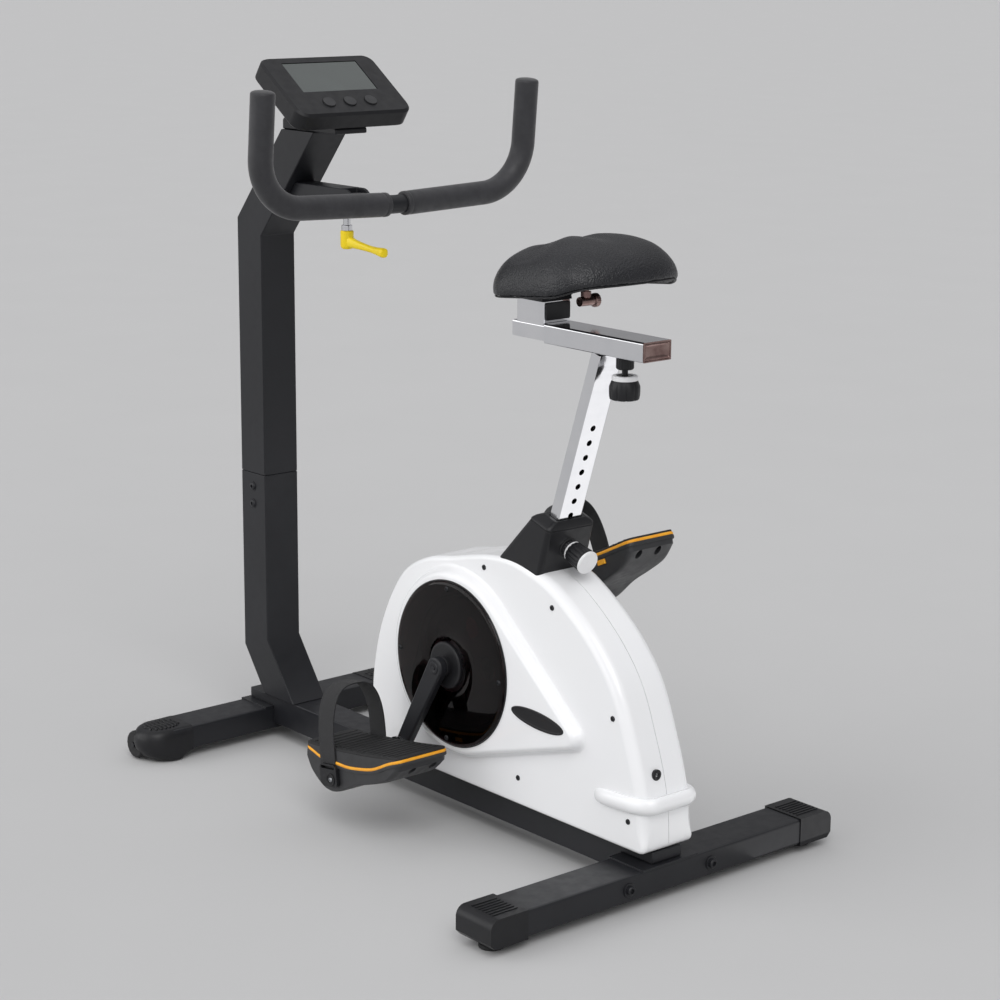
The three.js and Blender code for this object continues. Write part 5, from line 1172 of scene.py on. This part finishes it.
BUCKLE_SCREW = (STRAP_X + 10, -40.0, 0.4)
BUCKLE_DISH = [(9.6, -0.2), (10.4, 0.9), (9.4, 1.6), (8.2, 0.8), (7.6, -0.6), (0, -0.6)]
PEDAL_BEARING = [(0, 3), (9, 3), (12, 2), (13, 0), (13, -4)]
BEARING_PROUD = 2.0
PEDAL_EDGE, TREAD_EDGE, CLIP_EDGE = 1.6, 0.4, 0.8


def pedal_shell(side, place):
    """The plate's shell, with two holes drilled in the heel's underside."""
    shell = Form().loft(pedal_rings(pedal_outline(), *PEDAL_Y), caps=True)
    shell = make_mesh("pedal_shell", shell.sided(side).moved(place))
    oval = arc(0, 0, DRILL_RADIUS, 0, 2 * math.pi, 28)[:-1]
    oval = [(a * DRILL_OVAL[0], b * DRILL_OVAL[1]) for a, b in oval]
    slant = Matrix.Rotation(math.pi - DRILL_SLOPE, 4, "Y")
    drills = Form()
    for y in DRILL_Y:
        at = Matrix.Translation((DRILL_AT[0], y, DRILL_AT[1]))
        drills.add(prism(oval, *DRILL_REACH).moved(at @ slant))
    shell = cut_with("pedal_shell", shell, drills.sided(side).moved(place))
    shell.materials.clear()
    return shell


def buckle(side, body, place):
    """The strap's frame with its slot, and the screw that holds it in its dish."""
    name = SIDES[side]
    frame_box = rounded_box(*BUCKLE_BOX)
    slot = evened(rounded_box(*BUCKLE_SLOT), 28)
    inner, outer = BUCKLE_Y
    plate = Form().loft([[(a, y, b) for a, b in frame_box] for y in (inner, outer)])
    plate.fill([[(a, outer, b) for a, b in frame_box], [(a, outer, b) for a, b in slot]])
    plate.loft([[(a, y, b) for a, b in slot] for y in (outer, outer + BUCKLE_SLOT_DEEP)])
    piece(f"buckle_{name}", plate.sided(side).moved(place), body, "black_plastic", edge=PEDAL_EDGE, smooth=50)
    x, z, proud = BUCKLE_SCREW
    dish = turned(BUCKLE_DISH).moved(about((x, outer, z), OUT_LEFT))
    piece(f"buckle_dish_{name}", dish.sided(side).moved(place), body, "rubber")
    screw = screws(BUTTON_SCREW, [((x, outer + proud, z), OUT_LEFT)])
    piece(f"buckle_screw_{name}", screw.sided(side).moved(place), body, "steel")


def pedals():
    for side, name in SIDES.items():
        body = f"{name}_pedal"
        place = pedal_place(side)
        shell = pedal_shell(side, place)
        add_mesh(f"pedal_plate_{name}", shell, body, "grey_plastic", LOOKS["grey_plastic"], [f"pedal_{name}"],
                 edge=PEDAL_EDGE, smooth=34)
        rim = around_pedal(RIM_SECTION).sided(side).moved(place)
        piece(f"pedal_rim_{name}", rim, body, "grey_plastic", smooth=50)
        tread = tread_form().sided(side).moved(place)
        piece(f"pedal_tread_{name}", tread, body, "rubber", edge=TREAD_EDGE)
        trim = around_pedal(TRIM_SECTION).sided(side).moved(place)
        piece(f"pedal_trim_{name}", trim, body, "yellow_plastic", "orange_trim", smooth=60)
        clip = prism(rounded_box(*CLIP_BOX), -CLIP_HALF, CLIP_HALF).moved(Matrix.Translation(CLIP_AT))
        clip = clip.sided(side).moved(place)
        piece(f"pedal_clip_{name}", clip, body, "yellow_plastic", "orange_trim", edge=CLIP_EDGE)
        buckle(side, body, place)
        strap(side, body, place)
        cap = turned(PEDAL_BEARING).moved(about((0, PEDAL_Y[1] + BEARING_PROUD, 0), INWARD))
        piece(f"pedal_bearing_{name}", cap.sided(side).moved(place), body, "black_plastic")


STRAP_GAP, STRAP_STEPS, STRAP_COUNT = 0.3, 72, 110
STRAP_FOOT, STRAP_LEAN = 0.43, 4.0
STRAP_EDGE, STRAP_ROUND = 0.3, 0.7


def strap_path():
    """The strap's inner face across the plate, from the buckle over the arch to the crank's side."""
    middle = sum(PEDAL_Y) / 2
    half = (PEDAL_Y[1] - PEDAL_Y[0]) / 2 + STRAP_GAP
    path = []
    for i in range(STRAP_STEPS + 1):
        angle = math.pi * i / STRAP_STEPS
        flat = math.copysign(abs(math.cos(angle)) ** 0.7, math.cos(angle))
        path.append((middle - half * flat, PEDAL_TOP + STRAP_ARCH * math.sin(angle) ** 0.8))
    foot = PEDAL_TOP - PEDAL_DEEP * STRAP_FOOT
    return evened([(path[0][0], foot), *path, (path[-1][0], foot)], STRAP_COUNT, closed=False)


def strap(side, body, place):
    """Webbing that arches over the plate, with its weave mapped along it."""
    path = strap_path()
    ahead = np.gradient(path, axis=0)
    ahead /= np.linalg.norm(ahead, axis=1)[:, None]
    out = np.stack([-ahead[:, 1], ahead[:, 0]], axis=1)
    runs = np.concatenate([[0], np.cumsum(np.linalg.norm(np.diff(path, axis=0), axis=1))])
    wide, thick = STRAP_HALF - STRAP_ROUND, STRAP_THICK - STRAP_EDGE
    section = [(-STRAP_HALF, STRAP_EDGE), (-wide, 0), (wide, 0), (STRAP_HALF, STRAP_EDGE),
               (STRAP_HALF, thick), (wide, STRAP_THICK), (-wide, STRAP_THICK), (-STRAP_HALF, thick)]
    rings = []
    for k, (y, z) in enumerate(path):
        lean = STRAP_LEAN * math.sin(math.pi * k / (len(path) - 1))
        rings.append([(STRAP_X + a + lean, y + out[k][0] * b, z + out[k][1] * b) for a, b in section])
    form = Form().loft(rings, caps=True).sided(side).moved(place)
    name = SIDES[side]
    band = piece(f"strap_band_{name}", form, body, "webbing", stands_for=[f"pedal_strap_{name}"], smooth=50)
    layer = band.data.uv_layers.new(name="weave")
    back = (Matrix.Scale(MM, 4) @ Matrix.Translation((SHIFT, 0, 0)) @ place).inverted()
    for loop in band.data.loops:
        point = back @ band.data.vertices[loop.vertex_index].co
        nearest = int(np.argmin(np.hypot(path[:, 0] + abs(point.y), path[:, 1] - point.z)))
        layer.data[loop.index].uv = (point.x, runs[nearest])


# Caps, bolts and the saddle

CAP_X, CAP_HALF = -587.0, 39.0
CAP_Y = (-291.0, -200.0)
CAP_FOOT_Y = (-228.0, -203.0)
CAP_LIFT = 12.5
CAP_LEVELS = [
    (0.3, 7, 34), (1.2, 3.5, 28), (4, 1.2, 20), (9, 0, 12.5), (16, 0, 6), (24, 0, 2), (32, 0, 0),
    (42, 0, 0.6), (49, 0.8, 3), (54, 2.6, 7), (57.3, 6, 13), (58.5, 11, 19),
]
CAP_TOP = 58.5
RIB_COUNT, RIB_PITCH, RIB_Y = 8, 8.0, -242.0
RIB_REACH, RIB_ROUND, RIB_WAVE, RIB_TURN = 25.0, 34.0, 1.4, 6.0
RIB_SECTION = [(-2.1, -1), (-1, 2), (1, 2), (2.1, -1)]
WHEEL_AT = (-607.0, 26.0)
WHEEL_ROOM = 25.5
WHEEL_ROOM_Y = (-287.0, -259.5)
WHEEL_PIN, WHEEL_PIN_LAP = 4.2, 1.0


def cap_ring(z, inset, end_inset):
    """Round at its outer end in plan, and lifted towards the tube under its inner end."""
    half = CAP_HALF - inset
    outer = CAP_Y[0] + end_inset
    plan = [(CAP_X - half, CAP_Y[1])] + arc(CAP_X, outer + half, half, math.pi, 2 * math.pi, 24)
    plan += [(CAP_X + half, y) for y in np.linspace(outer + half, CAP_Y[1], 13)[1:]]
    plan += [(CAP_X - half, y) for y in np.linspace(CAP_Y[1], outer + half, 13)[:-1]]
    ring = []
    for x, y in plan[1:]:
        lift = CAP_LIFT * smoothstep(y, *CAP_FOOT_Y)
        ring.append((x, y, z + lift * (1 - z / CAP_TOP)))
    return ring


def cap_ribs():
    """Wavy ribs across the cap's top, within an oval."""
    ribs = Form()
    for i in range(RIB_COUNT):
        across = RIB_PITCH * (i - (RIB_COUNT - 1) / 2)
        reach = RIB_REACH * math.sqrt(1 - (across / RIB_ROUND) ** 2)
        rings = []
        for t in np.linspace(-1, 1, 24):
            y = RIB_Y + across + RIB_WAVE * math.sin(t * RIB_TURN)
            rings.append([(CAP_X + reach * t, y + a, CAP_TOP + b) for a, b in RIB_SECTION])
        ribs.add(Form().loft(rings, caps=True))
    return ribs


def front_caps():
    for side, name in SIDES.items():
        shell = Form().loft([cap_ring(*level) for level in CAP_LEVELS], caps=True).sided(side)
        room = side_prism(arc(*WHEEL_AT, WHEEL_ROOM, 0, 2 * math.pi, 40)[:-1], *WHEEL_ROOM_Y).sided(side)
        mesh = cut_with("cap_shell", make_mesh("cap_shell", shell), room)
        mesh.materials.clear()
        add_mesh(f"front_cap_shell_{name}", mesh, "frame", "black_plastic", LOOKS["black_plastic"],
                 [f"front_cap_{name}"], smooth=50)
        ends = (WHEEL_ROOM_Y[0] - WHEEL_PIN_LAP, WHEEL_ROOM_Y[1] + WHEEL_PIN_LAP)
        pin = side_prism(arc(*WHEEL_AT, WHEEL_PIN, 0, 2 * math.pi, 20)[:-1], *ends)
        piece(f"wheel_pin_{name}", pin.sided(side), "frame", "black_steel")
        piece(f"front_cap_grip_{name}", cap_ribs().sided(side), "frame", "black_plastic", smooth=50)


MAST_BOLTS = [((-594, -35, z), OUT_LEFT) for z in (453, 422)]
MAST_HEAD = [
    (0, 1.4), (2.6, 1.4), (3, 3.6), (5.2, 3.4), (6.6, 2.2), (7, 0.8), (8.6, 0.8), (8.8, 0), (8.8, -1),
]
REAR_BOLTS = [((432.5, y, 36), OUT_REAR) for y in (-85, 85)]
REAR_HEAD = [
    (0, 4.6), (3.4, 4.6), (3.9, 7.6), (6.2, 7.4), (7.2, 6.4), (7.4, 2.2), (10.6, 2), (11, 1.4), (11, -1),
]


def bolts():
    for side, name in SIDES.items():
        piece(f"mast_bolts_{name}", screws(MAST_HEAD, MAST_BOLTS).sided(side), "frame", "black_steel")
    piece("rear_bolts", screws(REAR_HEAD, REAR_BOLTS), "frame", "black_steel")


SADDLE = leaned(150, 884, math.radians(-6))
SADDLE_X = (60.0 - 150.0, 346.0 - 150.0)
SADDLE_NOSE, SADDLE_HALF = 42.0, 125.0
SADDLE_BASE, SADDLE_THICK, SADDLE_RISE, SADDLE_CHANNEL = 20.3, 50.0, 12.0, 7.0
SADDLE_SQUARE = 5
SADDLE_SPREAD = (-0.05, 0.42)
SKIRT_DROP, SKIRT_REAR, SKIRT_NOSE = 19.0, 0.45, 0.6
CUSHION = [
    (0, 0.87, 0), (0, 0.905, 1), (0.02, 0.975, 1), (0.06, 1, 0.92), (0.2, 0.988, 0.45), (0.36, 0.945, 0.24),
    (0.56, 0.865, 0.08), (0.76, 0.745, 0), (0.94, 0.53, 0), (1.01, 0.25, 0), (1.01, 0.08, 0),
]
VOXEL = 4.5
CLOTH_PRESSURE, CLOTH_FRAMES = 4, 20
WELT_AT, WELT_SIZE, WELT_HANG = (0.012, 0.968), (0.026, 0.014), 1.02
SADDLE_BOLT = [
    (0, -9), (7.2, -9), (7.6, 18), (9.6, 18.6), (10, 20), (10, 26), (8.8, 27.4), (4, 27.6), (3.4, 26),
    (0, 26),
]
SADDLE_NUT = [(0, 0), (7, 0), (7.4, 1), (7.4, 9), (5, 9.4), (5, 14), (0, 14)]
BOLT_FLUTES, NUT_FLUTES = (0.7, 18), (0.6, 6)
SADDLE_BOLT_AT, SADDLE_NUT_AT = (178.0, -40.0, 867.0), (178.0, -44.0, 873.0)
UP = (0, 0, 1)
SWELL_CAP = 2.5


def saddle_width(share):
    spread = smoothstep(share, *SADDLE_SPREAD)
    ends = math.sqrt(max(1 - abs(2 * share - 1) ** SADDLE_SQUARE, 0))
    return (SADDLE_NOSE + (SADDLE_HALF - SADDLE_NOSE) * spread) * ends


def skirt_hang(share):
    """The cover hangs lowest at the flanks, less at the rear and the nose."""
    rear = 1 - (1 - SKIRT_REAR) * smoothstep(share, 0.78, 0.97)
    nose = SKIRT_NOSE + (1 - SKIRT_NOSE) * smoothstep(share, 0, 0.2)
    return SKIRT_DROP * rear * nose


def cushion_ring(up, scale, hang):
    middle, half = sum(SADDLE_X) / 2, (SADDLE_X[1] - SADDLE_X[0]) / 2
    ring = []
    for i in range(FINE_AROUND):
        angle = 2 * math.pi * i / FINE_AROUND
        share = (1 - math.cos(angle)) / 2
        y = math.copysign(saddle_width(share), math.sin(angle)) * scale
        x = middle + half * (2 * share - 1) * scale
        rise = SADDLE_RISE * smoothstep(share, 0.3, 0.95)
        channel = SADDLE_CHANNEL * math.exp(-4 * (y / SADDLE_NOSE) ** 2) * smoothstep(up, 0.7, 1.0)
        z = SADDLE_BASE + up * (SADDLE_THICK + rise) - channel - hang * skirt_hang(share)
        ring.append((x, y, z))
    return ring


def cushion_form():
    under = [cushion_ring(*CUSHION[0])]
    rings = [cushion_ring(*shares) for shares in catmull(CUSHION[1:], 3)]
    return Form().loft(under + rings, caps=True)


def swell(body, cap):
    """Lets the cover swell as cloth under a little pressure, and caps how far a point may move."""
    rest = np.array([v.co for v in body.data.vertices])
    back = (Matrix.Scale(MM, 4) @ Matrix.Translation((SHIFT, 0, 0)) @ SADDLE).inverted()
    heights = [(back @ Vector(p)).z for p in rest]
    pinned = body.vertex_groups.new(name="pinned")
    pinned.add([i for i, z in enumerate(heights) if z < SADDLE_BASE - 4], 1.0, "REPLACE")
    cloth = body.modifiers.new("cloth", "CLOTH")
    cloth.settings.quality = 6
    cloth.settings.use_pressure = True
    cloth.settings.uniform_pressure_force = CLOTH_PRESSURE
    cloth.settings.vertex_group_mass = "pinned"
    cloth.settings.effector_weights.gravity = 0
    cloth.point_cache.frame_start = 1
    cloth.point_cache.frame_end = CLOTH_FRAMES
    scene = bpy.context.scene
    for step in range(1, CLOTH_FRAMES + 1):
        scene.frame_set(step)
    graph = bpy.context.evaluated_depsgraph_get()
    moved = np.array([v.co for v in body.evaluated_get(graph).data.vertices])
    body.modifiers.remove(cloth)
    scene.frame_set(1)
    shift = moved - rest
    length = np.linalg.norm(shift, axis=1)
    shift *= np.minimum(1, cap * MM / np.maximum(length, 1e-9))[:, None]
    body.data.vertices.foreach_set("co", (rest + shift).ravel())
    body.vertex_groups.clear()


def saddle():
    mesh = make_mesh("saddle_cover", cushion_form().moved(SADDLE))
    cover = bpy.data.objects.new("saddle_cover", mesh)
    bpy.context.scene.collection.objects.link(cover)
    remesh = cover.modifiers.new("remesh", "REMESH")
    remesh.mode = "VOXEL"
    remesh.voxel_size = VOXEL * MM
    bpy.context.view_layer.update()
    fine = bpy.data.meshes.new_from_object(cover.evaluated_get(bpy.context.evaluated_depsgraph_get()))
    cover.modifiers.clear()
    cover.data = fine
    swell(cover, SWELL_CAP)
    shade(cover.data, 80)
    cover.data.materials.clear()
    cover.data.materials.append(LOOKS["vinyl"])
    calm = cover.modifiers.new("calm", "SMOOTH")
    calm.factor = 0.5
    calm.iterations = 3
    finer = cover.modifiers.new("finer", "SUBSURF")
    finer.levels = 1
    finer.render_levels = 1
    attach(cover, "seat")
    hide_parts("saddle")
    saddle_welt()
    saddle_bolt()


def saddle_welt():
    """The piping round the cover's lower edge."""
    rings = []
    for k in range(9):
        angle = math.tau * k / 8
        up = WELT_AT[0] + WELT_SIZE[0] * math.sin(angle)
        rings.append(cushion_ring(up, WELT_AT[1] + WELT_SIZE[1] * math.cos(angle), WELT_HANG))
    piece("saddle_welt", Form().loft(rings).moved(SADDLE), "seat", "black_plastic", smooth=60)


def saddle_bolt():
    """The clamp's bolt with its nut, on the right."""
    form = turned(SADDLE_BOLT, FINE_AROUND, *BOLT_FLUTES, waved=(4, 5)).moved(about(SADDLE_BOLT_AT, OUT_LEFT))
    nut = turned(SADDLE_NUT, FINE_AROUND, *NUT_FLUTES, waved=(1, 2, 3)).moved(about(SADDLE_NUT_AT, UP))
    form.add(nut)
    # The rail_end look carries a painted warm reflection in its base colour.
    piece("saddle_nut", form.sided(RIGHT), "seat", "chrome", "rail_end")


# Kept pieces of the frame get finer edges and the same materials

def smooth_group():
    """Smooth faces, sharp only where two meet at more than an angle."""
    group = bpy.data.node_groups.new("soft_faces", "GeometryNodeTree")
    group.interface.new_socket("Geometry", in_out="INPUT", socket_type="NodeSocketGeometry")
    group.interface.new_socket("Geometry", in_out="OUTPUT", socket_type="NodeSocketGeometry")
    start, end = group.nodes.new("NodeGroupInput"), group.nodes.new("NodeGroupOutput")
    faces = group.nodes.new("GeometryNodeSetShadeSmooth")
    edges = group.nodes.new("GeometryNodeSetShadeSmooth")
    edges.domain = "EDGE"
    edges.inputs["Shade Smooth"].default_value = False
    angle = group.nodes.new("GeometryNodeInputMeshEdgeAngle")
    over = group.nodes.new("FunctionNodeCompare")
    over.operation = "GREATER_THAN"
    over.inputs["B"].default_value = math.radians(38)
    links = group.links
    links.new(start.outputs[0], faces.inputs["Geometry"])
    links.new(faces.outputs[0], edges.inputs["Geometry"])
    links.new(angle.outputs["Unsigned Angle"], over.inputs["A"])
    links.new(over.outputs["Result"], edges.inputs["Selection"])
    links.new(edges.outputs[0], end.inputs[0])
    return group


EDGES = {
    "mast_lower": 2.2, "mast_upper": 2.2, "base_rail": 2, "front_stabiliser": 1.2, "rear_stabiliser": 1.2,
    "rear_cap_left": 2.4, "rear_cap_right": 2.4, "stem_bracket": 1.5, "console": 1.2, "console_bracket": 2,
    "saddle_slider": 0.8, "saddle_clamp": 1.2, "saddle_pan": 1.2,
}
PLAIN_EDGE = 0.6


def dress_kept():
    group = smooth_group()
    for name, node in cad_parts.items():
        slot = node.material_slots[0].material.name.split(".")[0]
        node.material_slots[0].material = LOOKS[slot]
        weld = node.modifiers.new("weld", "WELD")
        weld.merge_threshold = WELD * MM
        merge = node.modifiers.new("faces", "DECIMATE")
        merge.decimate_type = "DISSOLVE"
        merge.angle_limit = math.radians(0.6)
        soft = node.modifiers.new("soft", "NODES")
        soft.node_group = group
        round_off(node, EDGES.get(name, PLAIN_EDGE), 2)
        even_normals(node)


# Stage

CAMERA_AT = Vector((2959.7, -2412.1, 1426.7)) * MM
AZIMUTH, ELEVATION, ROLL = math.radians(49.566), math.radians(13.419), math.radians(0.395)
LENS, SENSOR = 87.86, 36.0
FLOOR_HALF, FAR = 60.0, 250.0
FLOOR_SHADE = 0.56
SUNS = [
    # name, direction towards it, strength and spread
    ("key", (0.62, -0.42, 0.78), 0.95, 40), ("left_fill", (-0.45, -0.85, 0.22), 1.5, 70),
    ("rear_fill", (0.85, -0.35, 0.1), 0.55, 60),
]
LOW_CARD_AT = Vector((0.69, 0.58, 0.02))
LOW_CARD_SIZE, LOW_CARD_POWER = (0.8, 0.8), 1.2
SKY_STRENGTH = 0.85
SKY_STOPS = [(0.0, 0.30), (0.52, 0.42), (0.62, 0.30), (0.75, 0.36), (0.86, 0.87), (1.0, 0.92)]
SKY_BLUE = 1.02


def camera():
    data = bpy.data.cameras.new("camera")
    data.lens = LENS
    data.sensor_width = SENSOR
    data.clip_end = FAR
    item = bpy.data.objects.new("camera", data)
    bpy.context.scene.collection.objects.link(item)
    level = math.cos(ELEVATION)
    back = Vector((math.sin(AZIMUTH) * level, -math.cos(AZIMUTH) * level, math.sin(ELEVATION)))
    right = Vector((math.cos(AZIMUTH), math.sin(AZIMUTH), 0))
    up = back.cross(right)
    across = right * math.cos(ROLL) + up * math.sin(ROLL)
    upward = up * math.cos(ROLL) - right * math.sin(ROLL)
    item.matrix_world = Matrix.Translation(CAMERA_AT) @ Matrix((across, upward, back)).transposed().to_4x4()
    bpy.context.scene.camera = item


def floor():
    mesh = bpy.data.meshes.new("floor")
    half = FLOOR_HALF
    corners = [(-half, -half, 0), (half, -half, 0), (half, half, 0), (-half, half, 0)]
    mesh.from_pydata(corners, [], [(0, 1, 2, 3)])
    look = Look("floor", (FLOOR_SHADE,) * 3, 0.95)
    look.set("Specular IOR Level", 0.0)
    look.mottled(look.noise(3), (FLOOR_SHADE * 1.01,) * 3)
    mesh.materials.append(look.material)
    item = bpy.data.objects.new("floor", mesh)
    bpy.context.scene.collection.objects.link(item)


def sun(name, towards, strength, spread):
    data = bpy.data.lights.new(name, "SUN")
    data.energy = strength
    data.angle = math.radians(spread)
    item = bpy.data.objects.new(name, data)
    item.rotation_euler = Vector(towards).to_track_quat("Z", "Y").to_euler()
    bpy.context.scene.collection.objects.link(item)


def panel_light(name, place, target, size, power):
    data = bpy.data.lights.new(name, "AREA")
    data.shape = "RECTANGLE"
    data.size, data.size_y = size
    data.energy = power
    item = bpy.data.objects.new(name, data)
    item.location = place
    item.rotation_euler = (Vector(place) - Vector(target)).to_track_quat("Z", "Y").to_euler()
    item.visible_camera = False
    bpy.context.scene.collection.objects.link(item)


def sky():
    world = bpy.data.worlds.new("studio")
    bpy.context.scene.world = world
    world.use_nodes = True
    nodes, links = world.node_tree.nodes, world.node_tree.links
    coords = nodes.new("ShaderNodeTexCoord")
    split = nodes.new("ShaderNodeSeparateXYZ")
    ramp = nodes.new("ShaderNodeValToRGB")
    while len(ramp.color_ramp.elements) < len(SKY_STOPS):
        ramp.color_ramp.elements.new(0.5)
    for element, (place, value) in zip(ramp.color_ramp.elements, SKY_STOPS):
        element.position = place
        element.color = (value, value, value * SKY_BLUE, 1)
    spread = nodes.new("ShaderNodeMapRange")
    spread.inputs["From Min"].default_value = -1
    links.new(coords.outputs["Generated"], split.inputs[0])
    links.new(split.outputs["Z"], spread.inputs["Value"])
    links.new(spread.outputs["Result"], ramp.inputs["Fac"])
    links.new(ramp.outputs["Color"], nodes["Background"].inputs["Color"])
    nodes["Background"].inputs["Strength"].default_value = SKY_STRENGTH


def stage():
    camera()
    floor()
    sky()
    for lamp in SUNS:
        sun(*lamp)
    panel_light("low_card", LOW_CARD_AT, LOW_CARD_AT + Vector(UP), LOW_CARD_SIZE, LOW_CARD_POWER)
    bpy.context.scene.view_settings.view_transform = "Standard"


stage()
dress_kept()
housings()
windows()
power_inlet()
shroud()
seat_post()
seat_rail()
rail_plug()
plungers()
handlebar()
clamp_lever()
cranks()
pedals()
front_caps()
bolts()
saddle()
